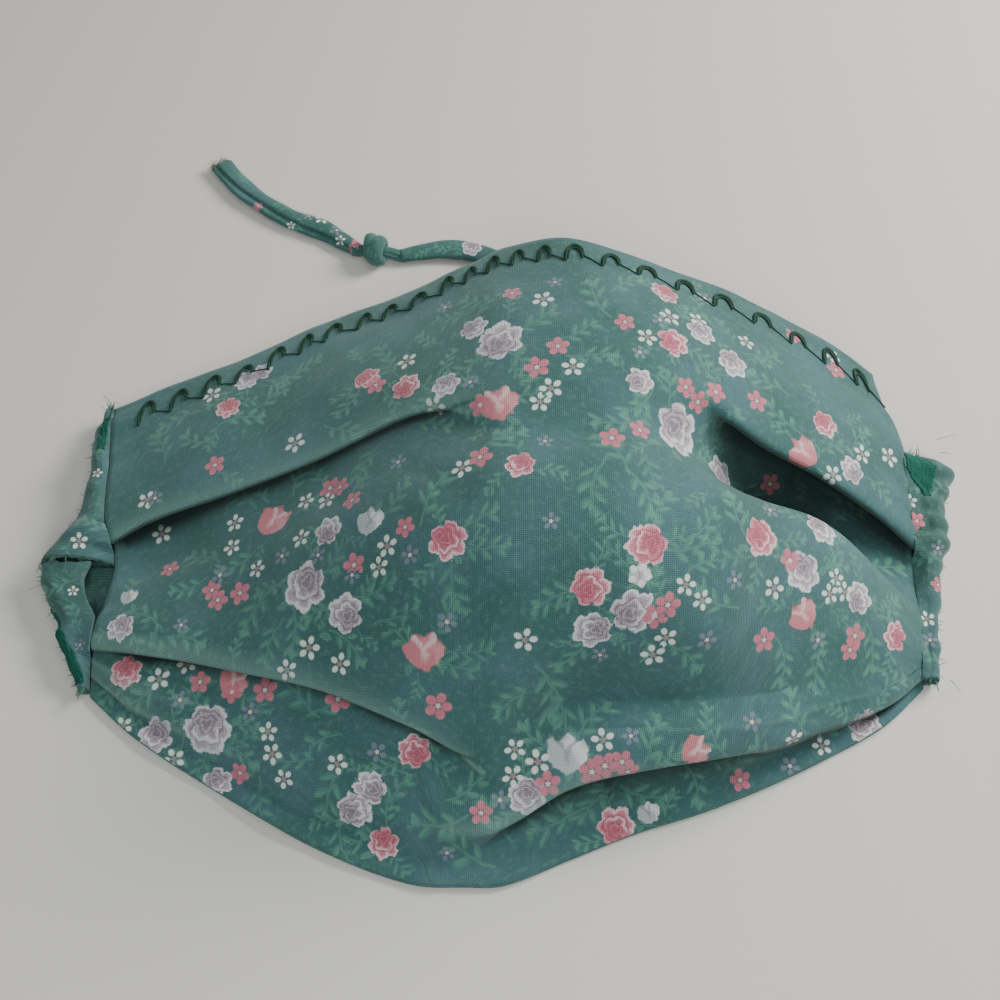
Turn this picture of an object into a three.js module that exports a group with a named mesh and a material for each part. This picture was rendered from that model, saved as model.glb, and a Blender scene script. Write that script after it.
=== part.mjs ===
// Pleated cloth face mask, lying on its rim with its outer side up.
// Millimetres, +X to the right, +Y towards the top hem, +Z up. The origin is in the middle of
// the mask, on the surface that it lies on. Each cloth piece is a wall of one thickness.
import * as THREE from 'three';

// Driving dimensions of the pleated panel
const panelHalfWidth = 88;      // from the middle to a side seam
const panelHalfDepth = 67;      // from the middle to the top or the bottom hem
const crownHeight = 46;         // height of the dome
const clothThickness = 1.2;
const pleatDepth = 16;          // how far the deepest pleat is tucked back
const layerSpacing = 2.2;       // between the middles of two layers in a pleat
const foldEase = 3;             // length over which a fold's edge turns round
const foldClosing = 4.5;        // tuck from which a pleat lies fully closed
const hemDrop = 0.45;           // middle of the bottom hem's wall above the surface
const hemRest = 5;              // width of the bottom hem that lies on the surface

// Driving dimensions of the side casings
const bandWidth = 12;
const bandHeight = 10;
const bandWall = 1.2;
const seamGap = 0.3;            // clearance between neighbouring pieces

// Driving dimensions of the tie
const tieWidth = 6;
const tieThickness = 2.8;
const knotLength = 9.6;
const knotWidth = 8;
const knotHeight = 6.2;
const knotTurn = -0.5;          // radians about Z, along the tie
const knotGroove = 0.14;        // depth of the groove as a share of the knot's size
const knotGrooveWidth = 0.12;   // half width of the groove as a share of the knot's length
const knotGrooveSlant = 0.5;    // how far the groove leans along the knot

// Driving dimensions of the lining
const liningThickness = 1.1;

// Faceting
const panelStations = 33;
const bandStations = 13;
const casingSteps = 8;
const casingArcStart = 0.2;     // share of the way round a casing where its lip turns into the fold
const casingFlat = 0.3;         // least share of a casing's width before its fold begins to turn
const liningStations = 5;
const liningSteps = 4;
const tieSides = 8;
const knotSides = 16;
const tieStep = 2.2 * tieWidth;

// Each row below crosses the mask from the left seam (-1) to the right seam (1).
// across: share of the half width; along: share of the half depth; rise: share of the crown
// height; tuck: share of the pleat depth, nothing where the pleat has fallen open.
const column = (names, rows) => rows.map((row) => Object.fromEntries(names.map((n, i) => [n, row[i]])));
const ridge = ['across', 'along', 'rise'];
const fold = ['across', 'along', 'rise', 'tuck'];

const topHem = column(ridge, [
  [-1.00, 0.60, 0.11], [-0.88, 0.66, 0.15], [-0.66, 0.74, 0.24], [-0.44, 0.85, 0.35],
  [-0.22, 0.895, 0.495], [-0.08, 0.945, 0.61], [0.00, 0.975, 0.675], [0.15, 0.955, 0.77], [0.30, 0.91, 0.75],
  [0.45, 0.88, 0.65], [0.60, 0.865, 0.53], [0.75, 0.83, 0.40], [0.90, 0.77, 0.28], [1.00, 0.69, 0.20]]);
const topPanel = column(ridge, [
  [-1.00, 0.34, 0.16], [-0.88, 0.39, 0.23], [-0.66, 0.46, 0.36], [-0.44, 0.54, 0.50],
  [-0.22, 0.61, 0.67], [-0.08, 0.63, 0.785], [0.00, 0.64, 0.845], [0.15, 0.63, 0.90], [0.30, 0.63, 0.89],
  [0.45, 0.60, 0.81], [0.60, 0.54, 0.67], [0.75, 0.49, 0.51], [0.90, 0.42, 0.36], [1.00, 0.36, 0.22]]);
const firstFold = column(fold, [
  [-1.00, 0.08, 0.165, 0.94], [-0.88, 0.13, 0.24, 0.88], [-0.66, 0.18, 0.38, 0.75],
  [-0.44, 0.23, 0.55, 0.56], [-0.22, 0.29, 0.76, 0.28], [-0.08, 0.28, 0.87, 0.10], [0.00, 0.275, 0.92, 0.00],
  [0.15, 0.30, 0.95, 0.00], [0.30, 0.34, 0.92, 0.00], [0.45, 0.33, 0.79, 0.10], [0.60, 0.24, 0.62, 0.38],
  [0.75, 0.19, 0.47, 0.69], [0.90, 0.12, 0.29, 0.88], [1.00, 0.05, 0.17, 1.00]]);
const firstValley = column(ridge, [
  [-1.00, -0.03, 0.08], [-0.88, 0.02, 0.10], [-0.66, 0.08, 0.29], [-0.44, 0.12, 0.48],
  [-0.22, 0.15, 0.71], [-0.08, 0.14, 0.85], [0.00, 0.13, 0.90], [0.15, 0.12, 0.92], [0.30, 0.15, 0.88],
  [0.45, 0.15, 0.60], [0.60, 0.04, 0.13], [0.75, 0.02, 0.07], [0.90, -0.06, 0.05], [1.00, -0.09, 0.08]]);
const crown = column(ridge, [
  [-1.00, -0.13, 0.115], [-0.88, -0.09, 0.18], [-0.66, -0.06, 0.33], [-0.44, -0.09, 0.59],
  [-0.22, -0.12, 0.86], [-0.08, -0.13, 0.96], [0.00, -0.13, 1.00], [0.15, -0.13, 1.02], [0.30, -0.13, 1.01],
  [0.45, -0.05, 0.94], [0.60, 0.055, 0.77], [0.75, 0.03, 0.59], [0.90, -0.08, 0.32], [1.00, -0.18, 0.11]]);
const domeFront = column(ridge, [
  [-1.00, -0.21, 0.12], [-0.88, -0.20, 0.19], [-0.66, -0.23, 0.30], [-0.44, -0.28, 0.50],
  [-0.22, -0.36, 0.70], [-0.08, -0.40, 0.78], [0.00, -0.42, 0.81], [0.15, -0.42, 0.84], [0.30, -0.40, 0.83],
  [0.45, -0.36, 0.77], [0.60, -0.28, 0.66], [0.75, -0.24, 0.49], [0.90, -0.26, 0.25], [1.00, -0.24, 0.105]]);
const secondFold = column(fold, [
  [-1.00, -0.275, 0.12, 0.75], [-0.88, -0.31, 0.18, 0.69], [-0.66, -0.39, 0.27, 0.62],
  [-0.44, -0.49, 0.37, 0.50], [-0.22, -0.61, 0.39, 0.28], [-0.08, -0.68, 0.33, 0.12], [0.00, -0.66, 0.34, 0.00],
  [0.15, -0.53, 0.38, 0.00], [0.30, -0.53, 0.40, 0.00], [0.45, -0.53, 0.39, 0.00], [0.60, -0.49, 0.33, 0.00],
  [0.75, -0.43, 0.25, 0.00], [0.90, -0.37, 0.16, 0.00], [1.00, -0.29, 0.09, 0.00]]);
const secondValley = column(ridge, [
  [-1.00, -0.31, 0.06], [-0.88, -0.40, 0.11], [-0.66, -0.50, 0.17], [-0.44, -0.61, 0.23],
  [-0.22, -0.73, 0.22], [-0.08, -0.77, 0.20], [0.00, -0.76, 0.23], [0.15, -0.65, 0.35], [0.30, -0.63, 0.38],
  [0.45, -0.62, 0.36], [0.60, -0.58, 0.30], [0.75, -0.50, 0.22], [0.90, -0.42, 0.13], [1.00, -0.33, 0.07]]);
const thirdFold = column(fold, [
  [-1.00, -0.35, 0.035, 0.00], [-0.88, -0.46, 0.06, 0.00], [-0.66, -0.60, 0.09, 0.00],
  [-0.44, -0.73, 0.12, 0.00], [-0.22, -0.83, 0.13, 0.00], [-0.08, -0.86, 0.15, 0.08], [0.00, -0.845, 0.17, 0.16],
  [0.15, -0.76, 0.27, 0.22], [0.30, -0.72, 0.30, 0.25], [0.45, -0.685, 0.28, 0.20], [0.60, -0.63, 0.23, 0.12],
  [0.75, -0.55, 0.16, 0.06], [0.90, -0.46, 0.09, 0.00], [1.00, -0.36, 0.05, 0.00]]);
const bottomHem = column(ridge.slice(0, 2), [
  [-1.00, -0.415], [-0.88, -0.545], [-0.66, -0.72], [-0.44, -0.875], [-0.22, -0.98], [-0.08, -0.99],
  [0.00, -0.985], [0.15, -0.91], [0.30, -0.835], [0.45, -0.775], [0.60, -0.70], [0.75, -0.61],
  [0.90, -0.505], [1.00, -0.39]]);

// Where the side seams run: along, share of the half depth; out, share of the half width
const leftSeam = column(['along', 'out'], [
  [-1.00, 0.95], [-0.42, 0.955], [-0.25, 0.955], [-0.12, 0.94], [0.00, 0.935], [0.08, 0.945], [0.15, 0.965],
  [0.35, 0.98], [0.60, 1.00], [1.00, 1.00]]);
const rightSeam = column(['along', 'out'], [
  [-1.00, 0.96], [-0.40, 0.965], [-0.08, 0.98], [0.15, 0.985], [0.46, 0.98], [0.57, 0.955], [0.70, 0.94], [1.00, 0.94]]);

// Casings: along, share of the half depth; width, share of the band width; height, share of
// the band height
const casing = ['along', 'width', 'height'];
const leftUpperCasing = column(casing, [
  [0.61, 0.16, 0.50], [0.52, 0.26, 0.72], [0.40, 0.36, 0.88], [0.24, 0.42, 0.92], [0.13, 0.65, 0.98],
  [0.06, 1.08, 0.92], [0.015, 1.27, 0.82]]);
const leftLowerCasing = column(casing, [
  [0.005, 1.28, 0.66], [-0.05, 1.22, 0.66], [-0.12, 0.98, 0.62], [-0.20, 0.71, 0.58], [-0.28, 0.48, 0.50],
  [-0.36, 0.26, 0.40], [-0.40, 0.18, 0.34]]);
const rightCasing = column(casing, [
  [0.41, 0.50, 0.62], [0.385, 0.80, 0.78], [0.34, 0.915, 0.88], [0.28, 0.80, 0.90], [0.20, 0.64, 0.90],
  [0.12, 0.66, 0.84], [0.04, 0.54, 0.76], [-0.06, 0.42, 0.64], [-0.16, 0.34, 0.56], [-0.26, 0.28, 0.48],
  [-0.33, 0.28, 0.40], [-0.37, 0.20, 0.34]]);

// Where the cloth of the lower left casing runs round the seam: its upper lip stands back, so the
// hollow for the tie lies open there
const lowerCasingSpan = column(['along', 'from', 'to'], [
  [0.005, 0.07, 1], [-0.05, 0.09, 1], [-0.12, 0.08, 1], [-0.20, 0.01, 1], [-0.40, 0, 1]]);

// Lining that shows outside a casing: along, share of the half depth; from and to, shares of the
// way round the casing, which starts at its upper lip and ends at its lower one
const liningColumns = ['along', 'from', 'to'];
const leftTopLining = column(liningColumns, [[0.56, 0.08, 0.26], [0.49, 0.07, 0.29], [0.41, 0.10, 0.24]]);
const leftEdgeLining = column(liningColumns, [
  [-0.14, 0.42, 0.50], [-0.24, 0.30, 0.52], [-0.33, 0.19, 0.52], [-0.385, 0.17, 0.50]]);
const rightPatchLining = column(liningColumns, [[0.365, 0.07, 0.22], [0.30, 0.06, 0.23], [0.225, 0.17, 0.235]]);

// The tie's route on the surface, from the left casing under the arch of the top hem to its
// knot, and the tail's route on from the knot
const tieRoute = [
  [-80, 36], [-74, 36.6], [-64, 38], [-54, 39.5], [-44, 41], [-34, 43], [-24, 45.8], [-14, 50.5],
  [-6, 57], [0, 64.5], [3, 72], [3.2, 79.5], [0.8, 85.5], [-4, 89.6], [-9.5, 91.6], [-15, 92], [-20, 91.2],
  [-25.6, 90]];
const knotPlace = [-31, 89.6];
const tailRoute = [
  [-35.9, 91.7], [-40.5, 95], [-44.8, 98.2], [-49, 100.2], [-53.2, 102], [-57, 104.5], [-60.7, 107.2],
  [-65.5, 111.5], [-70, 116.8], [-73, 121]];

// The value of one column of a table, on a smooth line through its rows
function readTable(table, key, name, at) {
  const sign = Math.sign(table[table.length - 1][key] - table[0][key]);
  let i = 0;
  while (i < table.length - 2 && sign * (at - table[i + 1][key]) > 0) i += 1;
  const [a, b] = [table[i], table[i + 1]];
  const before = table[i - 1] ?? a;
  const after = table[i + 2] ?? b;
  const run = b[key] - a[key];
  const t = THREE.MathUtils.clamp((at - a[key]) / run, 0, 1);
  const slopeA = (b[name] - before[name]) / (b[key] - before[key]) * run;
  const slopeB = (after[name] - a[name]) / (after[key] - a[key]) * run;
  const t2 = t * t;
  const t3 = t2 * t;
  return (2 * t3 - 3 * t2 + 1) * a[name] + (t3 - 2 * t2 + t) * slopeA
    + (3 * t2 - 2 * t3) * b[name] + (t3 - t2) * slopeB;
}

// A point of a cross section: x is the depth along Y, y is the height
const sectionPoint = (table, across) => new THREE.Vector2(
  panelHalfDepth * readTable(table, 'across', 'along', across),
  crownHeight * readTable(table, 'across', 'rise', across));

// The control points of one pleat: the cloth comes down to the fold, turns under itself, runs
// back by the tuck and turns down again. Where the tuck dies out they spread along the cloth.
function pleat(table, across, from, to) {
  const edge = sectionPoint(table, across);
  const tuck = pleatDepth * Math.max(0, readTable(table, 'across', 'tuck', across));
  const back = from.clone().sub(edge).normalize();
  const under = new THREE.Vector2(back.y, -back.x).multiplyScalar(layerSpacing);
  const ease = Math.min(foldEase, tuck / 3);
  const closed = [[0, 0], [0, 1], [ease, 1], [tuck - ease, 1], [tuck, 1], [tuck, 2], [tuck - ease, 2]];
  const shut = THREE.MathUtils.smoothstep(tuck, 0, foldClosing);
  const points = closed.map(([run, layer], i) => {
    const folded = edge.clone().addScaledVector(back, run).addScaledVector(under, layer);
    const open = edge.clone().lerp(to, i / closed.length);
    return open.lerp(folded, shut);
  });
  return [edge.clone().addScaledVector(back, foldEase), ...points];
}

// Steps between one control point and the next, more where the cloth runs far
const pleatSteps = [1, 3, 1, 1, 1, 3, 1];
const smallPleatSteps = [1, 2, 1, 1, 1, 2, 1];
const sectionSteps = [4, 4, ...pleatSteps, 2, 4, 4, 4, ...pleatSteps, 2, 2, ...smallPleatSteps, 3, 3];

function sectionControls(across) {
  const [hem, top, valley, dome, front, low] = [topHem, topPanel, firstValley, crown, domeFront, secondValley]
    .map((table) => sectionPoint(table, across));
  const bottom = new THREE.Vector2(panelHalfDepth * readTable(bottomHem, 'across', 'along', across), hemDrop);
  const rest = bottom.clone().setX(bottom.x + hemRest);
  return [hem, top, ...pleat(firstFold, across, top, valley), valley, dome, front,
    ...pleat(secondFold, across, front, low), low, ...pleat(thirdFold, across, low, rest), rest, bottom];
}

// A smooth line near its control points that starts and ends on them
function smoothLine(controls, steps) {
  const first = controls[0].clone().multiplyScalar(2).sub(controls[1]);
  const last = controls.at(-1).clone().multiplyScalar(2).sub(controls.at(-2));
  const all = [first, ...controls, last];
  const line = [];
  steps.forEach((count, span) => {
    for (let k = 0; k < count; k += 1) line.push(splinePoint(all, span, k / count));
  });
  line.push(controls.at(-1).clone());
  return line;
}

function splinePoint(all, span, t) {
  const weights = [(1 - t) ** 3, 3 * t ** 3 - 6 * t ** 2 + 4, -3 * t ** 3 + 3 * t ** 2 + 3 * t + 1, t ** 3];
  const point = new THREE.Vector2();
  weights.forEach((weight, i) => point.addScaledVector(all[span + i], weight / 6));
  return point;
}

// How far out the side seam runs at a depth, on the left (side -1) or on the right (side 1)
function seamOut(side, depth) {
  const table = side < 0 ? leftSeam : rightSeam;
  return panelHalfWidth * readTable(table, 'along', 'out', THREE.MathUtils.clamp(depth / panelHalfDepth, -1, 1));
}

// Joins rings of points into one closed body. Each ring runs along one face of the wall and
// back along the other, so the ends are closed across the wall.
function wallBody(rings) {
  const size = rings[0].length;
  const positions = rings.flat().flatMap((p) => [p.x, p.y, p.z]);
  const faces = [];
  for (let r = 0; r < rings.length - 1; r += 1) {
    for (let i = 0; i < size; i += 1) {
      const [a, b] = [r * size + i, r * size + (i + 1) % size];
      faces.push(a, b, b + size, a, b + size, a + size);
    }
  }
  const endAt = (rings.length - 1) * size;
  for (let i = 0; i < size / 2 - 1; i += 1) {
    const opposite = size - 1 - i;
    faces.push(i, opposite, opposite - 1, i, opposite - 1, i + 1);
    faces.push(endAt + i, endAt + opposite - 1, endAt + opposite, endAt + i, endAt + i + 1, endAt + opposite - 1);
  }
  const geometry = new THREE.BufferGeometry();
  geometry.setAttribute('position', new THREE.Float32BufferAttribute(positions, 3));
  geometry.setIndex(faces);
  geometry.computeVertexNormals();
  return geometry;
}

// The two faces of a wall along a line in a plane, as one ring
function wallRing(line, thickness) {
  const outer = [];
  const inner = [];
  line.forEach((point, i) => {
    const along = line[Math.min(i + 1, line.length - 1)].clone().sub(line[Math.max(i - 1, 0)]).normalize();
    const outward = new THREE.Vector2(along.y, -along.x).multiplyScalar(-thickness / 2);
    outer.push(point.clone().sub(outward));
    inner.push(point.clone().add(outward));
  });
  return [...outer, ...inner.reverse()];
}

function buildPanel() {
  const rings = [];
  for (let k = 0; k < panelStations; k += 1) {
    const across = 2 * k / (panelStations - 1) - 1;
    const line = smoothLine(sectionControls(across), sectionSteps);
    const ring = wallRing(line, clothThickness);
    rings.push(ring.map((point, i) => {
      const middle = line[Math.min(i, ring.length - 1 - i)];
      const x = across * seamOut(Math.sign(across) || 1, middle.x);
      return new THREE.Vector3(x, point.x, Math.max(0, point.y));
    }));
  }
  return wallBody(rings);
}

// Where a wall round a seam runs: way goes from 0 at the upper lip, out round the fold, to 1 at
// the lower lip; inset is how far inside the casing's outer face it lies
function casingPoint(width, height, inset, way) {
  const radius = Math.min(height / 2, (1 - casingFlat) * width) - inset;
  const flat = width - inset - radius;
  const half = height / 2 - inset;
  const lip = Math.min(1, Math.min(way, 1 - way) / casingArcStart);
  const turn = Math.PI * (0.5 - THREE.MathUtils.clamp((way - casingArcStart) / (1 - 2 * casingArcStart), 0, 1));
  return new THREE.Vector2(flat * lip + radius * Math.cos(turn), height / 2 + half * Math.sin(turn));
}

// A wall round the left (side -1) or right (side 1) seam, from one inset to another
function buildSeamWall(side, casingTable, spanTable, outerInset, innerInset, stations, steps) {
  const rings = [];
  const [start, end] = [spanTable[0].along, spanTable.at(-1).along];
  for (let k = 0; k < stations; k += 1) {
    const along = THREE.MathUtils.lerp(start, end, k / (stations - 1));
    const width = bandWidth * readTable(casingTable, 'along', 'width', along);
    const height = bandHeight * readTable(casingTable, 'along', 'height', along);
    const from = readTable(spanTable, 'along', 'from', along);
    const to = readTable(spanTable, 'along', 'to', along);
    const depth = along * panelHalfDepth;
    const inside = seamOut(side, depth) + seamGap;
    const face = (inset) => Array.from({ length: steps + 1 }, (_, i) => casingPoint(width, height, inset,
      THREE.MathUtils.lerp(from, to, i / steps)));
    const ring = [...face(outerInset), ...face(innerInset).reverse()];
    rings.push(ring.map((p) => new THREE.Vector3(side * (inside + p.x), depth, p.y)));
  }
  if (side > 0) rings.reverse();
  return wallBody(rings);
}

// A casing is cloth folded over the seam: a wall bent round like a U that opens to the panel
function buildCasing(side, table, span) {
  const whole = [{ ...table[0], from: 0, to: 1 }, { ...table.at(-1), from: 0, to: 1 }];
  return buildSeamWall(side, table, span ?? whole, 0, bandWall, bandStations, casingSteps);
}

function buildLining(side, casingTable, table) {
  return buildSeamWall(side, casingTable, table, -seamGap - liningThickness, -seamGap, liningStations, liningSteps);
}

// A flat tie along a route on the surface: an oval section, extruded along it
function buildTie(points) {
  const route = new THREE.CatmullRomCurve3(points.map(([x, y]) => new THREE.Vector3(x, y, tieThickness / 2)));
  const oval = Array.from({ length: tieSides }, (_, i) => {
    const turn = 2 * Math.PI * (i + 0.5) / tieSides;
    return new THREE.Vector2(tieThickness / 2 * Math.sin(turn), tieWidth / 2 * Math.cos(turn));
  });
  const reach = Math.max(...oval.map((p) => p.x));
  const section = oval.map((p) => new THREE.Vector2(p.x * tieThickness / 2 / reach, p.y));
  return new THREE.ExtrudeGeometry(new THREE.Shape(section), {
    extrudePath: route, steps: Math.round(route.getLength() / tieStep), bevelEnabled: false });
}

// The knot: a flattened ball with the groove between its two turns of cloth
function buildKnot() {
  const ball = new THREE.SphereGeometry(1, knotSides, knotSides / 2);
  const place = ball.attributes.position;
  for (let i = 0; i < place.count; i += 1) {
    const p = new THREE.Vector3().fromBufferAttribute(place, i);
    const away = (p.x + knotGrooveSlant * p.z) / (2 * knotGrooveWidth);
    const groove = 1 - knotGroove * Math.exp(-(away ** 2));
    place.setXYZ(i, groove * p.x * knotLength / 2, groove * p.y * knotWidth / 2, groove * p.z * knotHeight / 2);
  }
  ball.computeVertexNormals();
  return ball;
}

const group = new THREE.Group();

function addPiece(name, geometry, color) {
  const mesh = new THREE.Mesh(geometry, new THREE.MeshStandardMaterial({ color, roughness: 0.9, metalness: 0 }));
  mesh.name = name;
  group.add(mesh);
  return mesh;
}

const printedCotton = 0x3a6860;
const casingCotton = 0x35625a;
const liningCotton = 0x158a5c;
const tieCotton = 0x3f7a63;

addPiece('mask_panel', buildPanel(), printedCotton);
addPiece('left_band_upper', buildCasing(-1, leftUpperCasing), casingCotton);
addPiece('left_band_lower', buildCasing(-1, leftLowerCasing, lowerCasingSpan), casingCotton);
addPiece('right_band', buildCasing(1, rightCasing), casingCotton);
addPiece('left_lining_top', buildLining(-1, leftUpperCasing, leftTopLining), liningCotton);
addPiece('left_lining_edge', buildLining(-1, leftLowerCasing, leftEdgeLining), liningCotton);
addPiece('right_lining_patch', buildLining(1, rightCasing, rightPatchLining), liningCotton);

// The tie starts where it meets the left casing's lower lip
const tieStart = [-seamOut(-1, tieRoute[0][1]), tieRoute[0][1]];
addPiece('tie_strand', buildTie([tieStart, ...tieRoute]), tieCotton);
addPiece('tie_tail', buildTie(tailRoute), tieCotton);
const knot = addPiece('tie_knot', buildKnot(), tieCotton);
knot.position.set(...knotPlace, knotHeight / 2);
knot.rotation.z = knotTurn;

export default group;
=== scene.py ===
# %% [markdown]
# Pleated cloth face mask
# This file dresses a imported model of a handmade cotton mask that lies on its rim. The model gives
# every piece its place and size, and here the cloth gets its print, weave, folds, stitches and frays.
# All lengths are written in millimetres and turned into metres only where a mesh is made.

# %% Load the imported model
import math
import bpy
import numpy as np
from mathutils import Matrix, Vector
from mathutils.bvhtree import BVHTree
from mathutils.interpolate import poly_3d_calc


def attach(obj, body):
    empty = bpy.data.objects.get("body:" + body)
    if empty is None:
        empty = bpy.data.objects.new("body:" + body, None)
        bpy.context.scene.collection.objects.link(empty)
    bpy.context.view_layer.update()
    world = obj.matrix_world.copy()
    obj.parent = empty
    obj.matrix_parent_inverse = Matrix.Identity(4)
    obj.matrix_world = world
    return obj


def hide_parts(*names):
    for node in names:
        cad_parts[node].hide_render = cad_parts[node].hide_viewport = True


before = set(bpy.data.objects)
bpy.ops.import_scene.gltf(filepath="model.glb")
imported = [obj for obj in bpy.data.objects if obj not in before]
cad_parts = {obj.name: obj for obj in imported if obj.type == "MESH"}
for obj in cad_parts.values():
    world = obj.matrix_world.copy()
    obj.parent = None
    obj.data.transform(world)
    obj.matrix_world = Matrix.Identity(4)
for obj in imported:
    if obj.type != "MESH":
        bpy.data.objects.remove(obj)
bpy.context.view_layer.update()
MM = 0.001
random = np.random.default_rng(20)
print("solids:", sorted(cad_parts))

# %% [markdown]
# The mask was photographed from above its lower hem with an ordinary lens. The view could be set by
# hand in the viewport. It is worked out from an elevation, a distance and a target instead, so that
# each can be matched by itself. The camera comes first, because the print is laid out by looking
# through it.

# %% Set up the camera
LENS = 50.0
SENSOR = 36.0
PICTURE = 1000.0
LOOK_ELEVATION = math.radians(58.0)
LOOK_DISTANCE = 290.6
LOOK_TARGET = np.array([-1.0, 11.0, 14.0])

look_back = np.array([0.0, -math.cos(LOOK_ELEVATION), math.sin(LOOK_ELEVATION)])
eye = LOOK_TARGET + look_back * LOOK_DISTANCE
look_right = np.array([1.0, 0.0, 0.0])
look_up = np.cross(look_right, -look_back)

camera_data = bpy.data.cameras.new("camera")
camera_data.lens = LENS
camera_data.sensor_width = SENSOR
camera_data.clip_start = 0.01
camera = bpy.data.objects.new("camera", camera_data)
bpy.context.collection.objects.link(camera)
camera.location = Vector(eye * MM)
camera.rotation_euler = Vector(-look_back).to_track_quat("-Z", "Y").to_euler()
bpy.context.scene.camera = camera
print("camera: %.0f mm away, %.0f degrees up" % (LOOK_DISTANCE, math.degrees(LOOK_ELEVATION)))


def pixel_ray(px, py):
    """The direction in which a pixel of the 1000 x 1000 picture lies."""
    focal = LENS / SENSOR * PICTURE
    ray = -look_back * focal + look_right * (px - PICTURE / 2) - look_up * (py - PICTURE / 2)
    return ray / np.linalg.norm(ray)


# %% [markdown]
# Every piece of the mask ends up as a mesh. Blender's modifiers and sculpting tools could shape it,
# but points worked out from formulas are the shortest way to a shape that is known by its sizes,
# and they come out the same each time.

# %% A mesh from points


def make_piece(name, points, faces):
    """Makes a smooth mesh object from points in millimetres."""
    mesh = bpy.data.meshes.new(name)
    mesh.from_pydata((np.asarray(points) * MM).tolist(), [], [tuple(f) for f in faces])
    mesh.validate()
    mesh.shade_smooth()
    piece = bpy.data.objects.new(name, mesh)
    bpy.context.collection.objects.link(piece)
    return piece


# %% [markdown]
# Ties and threads keep nearly one section along their whole length. A curve object with a bevel
# sweeps a section too, but it can't change the section on the way. So this helper sets a section
# at each point of a path and joins one to the next.

# %% Sweep a section along a path


def unit(vectors):
    """The same directions with a length of 1."""
    return vectors / np.maximum(np.linalg.norm(vectors, axis=-1, keepdims=True), 1e-9)


def swept_points(path, section, up=(0.0, 0.0, 1.0), twist=None):
    """Places a section (n, 2) or one section for each point (m, n, 2) along a path (m, 3)."""
    path = np.asarray(path, float)
    along = unit(np.gradient(path, axis=0))
    side = unit(np.cross(along, np.asarray(up, float)))
    rise = np.cross(side, along)
    if twist is not None:
        turn = np.asarray(twist)[:, None]
        side, rise = side * np.cos(turn) + rise * np.sin(turn), rise * np.cos(turn) - side * np.sin(turn)
    section = np.broadcast_to(section, (len(path),) + np.asarray(section).shape[-2:])
    return path[:, None] + section[..., :1] * side[:, None] + section[..., 1:] * rise[:, None]


def sweep_faces(rings, sides, first=0):
    """Quads of a swept tube with a fan of triangles at each end."""
    grid = np.arange(rings * sides).reshape(rings, sides) + first
    a, b = grid[:-1], np.roll(grid, -1, axis=1)[:-1]
    quads = np.stack([a, b, b + sides, a + sides], -1).reshape(-1, 4).tolist()
    quads.append(grid[0, ::-1].tolist())
    quads.append(grid[-1].tolist())
    return quads


print("a tube of 10 rings with 8 sides has %d faces" % len(sweep_faces(10, 8)))

# %% [markdown]
# The shapes are charted in short tables. Straight lines from row to row would crease the cloth, so
# values are read on a smooth line through the rows: a cubic whose slope at each row comes from the
# rows beside it.

# %% Read a table smoothly


def read_smooth(keys, values, at):
    """The values of a table's column on a smooth line through its rows."""
    keys, values = np.asarray(keys, float), np.asarray(values, float)
    if keys[0] > keys[-1]:
        keys, values = keys[::-1], values[::-1]
    slope = np.empty_like(values)
    slope[1:-1] = (values[2:] - values[:-2]) / (keys[2:] - keys[:-2])
    slope[0] = (values[1] - values[0]) / (keys[1] - keys[0])
    slope[-1] = (values[-1] - values[-2]) / (keys[-1] - keys[-2])
    i = np.clip(np.searchsorted(keys, at, side="right") - 1, 0, len(keys) - 2)
    run = keys[i + 1] - keys[i]
    t = np.clip((at - keys[i]) / run, 0, 1)
    return ((2 * t**3 - 3 * t**2 + 1) * values[i] + (t**3 - 2 * t**2 + t) * slope[i] * run
            + (3 * t**2 - 2 * t**3) * values[i + 1] + (t**3 - t**2) * slope[i + 1] * run)


def smooth_path(points, step):
    """A smooth line through given points, at an even step."""
    points = np.asarray(points, float)
    run = np.concatenate([[0], np.cumsum(np.linalg.norm(np.diff(points, axis=0), axis=1))])
    at = np.linspace(0, run[-1], max(3, int(run[-1] / step)))
    return np.stack([read_smooth(run, points[:, k], at) for k in range(points.shape[1])], -1)


print("a line through 0, 1 and 0 reads %.3f a quarter of the way" % read_smooth((0, 1, 2), (0, 1, 0), 0.5))

# %% [markdown]
# The tie is a strip of cotton folded lengthwise, so it shows two soft rolls with a dark slit between
# them. It leaves the left casing, runs under the arch of the top hem and comes out on the table,
# where it is knotted once and ends in a frayed tail. A simulated strip would land a little elsewhere
# each time a value changes, so its route is a smooth line through chosen points, as in its solid.
# No point of it comes closer to the table than a fiftieth of a millimetre.

# %% Lay out the tie
TIE_WIDTH = 6.0
TIE_THICKNESS = 2.8
TIE_START = (-86.8, 36.0)
TIE_ROUTE = [
    (-80, 36), (-74, 36.6), (-64, 38), (-54, 39.5), (-44, 41), (-34, 43), (-24, 45.8), (-14, 50.5),
    (-6, 57), (0, 64.5), (3, 72), (3.2, 79.5), (0.8, 85.5), (-4, 89.6), (-9.5, 91.6), (-15, 92),
    (-20, 91.2), (-25.6, 90)]
TAIL_ROUTE = [
    (-35.9, 91.7), (-40.5, 95), (-44.8, 98.2), (-49, 100.2), (-53.2, 102), (-57, 104.5), (-60.7, 107.2),
    (-65.5, 111.5), (-70, 116.8), (-73, 121)]
TIE_SIDES = 40
TIE_STEP = 0.7
SLIT_SPREAD = 0.28
ROUNDNESS = 0.8
FLOOR_REST = 0.02


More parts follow.
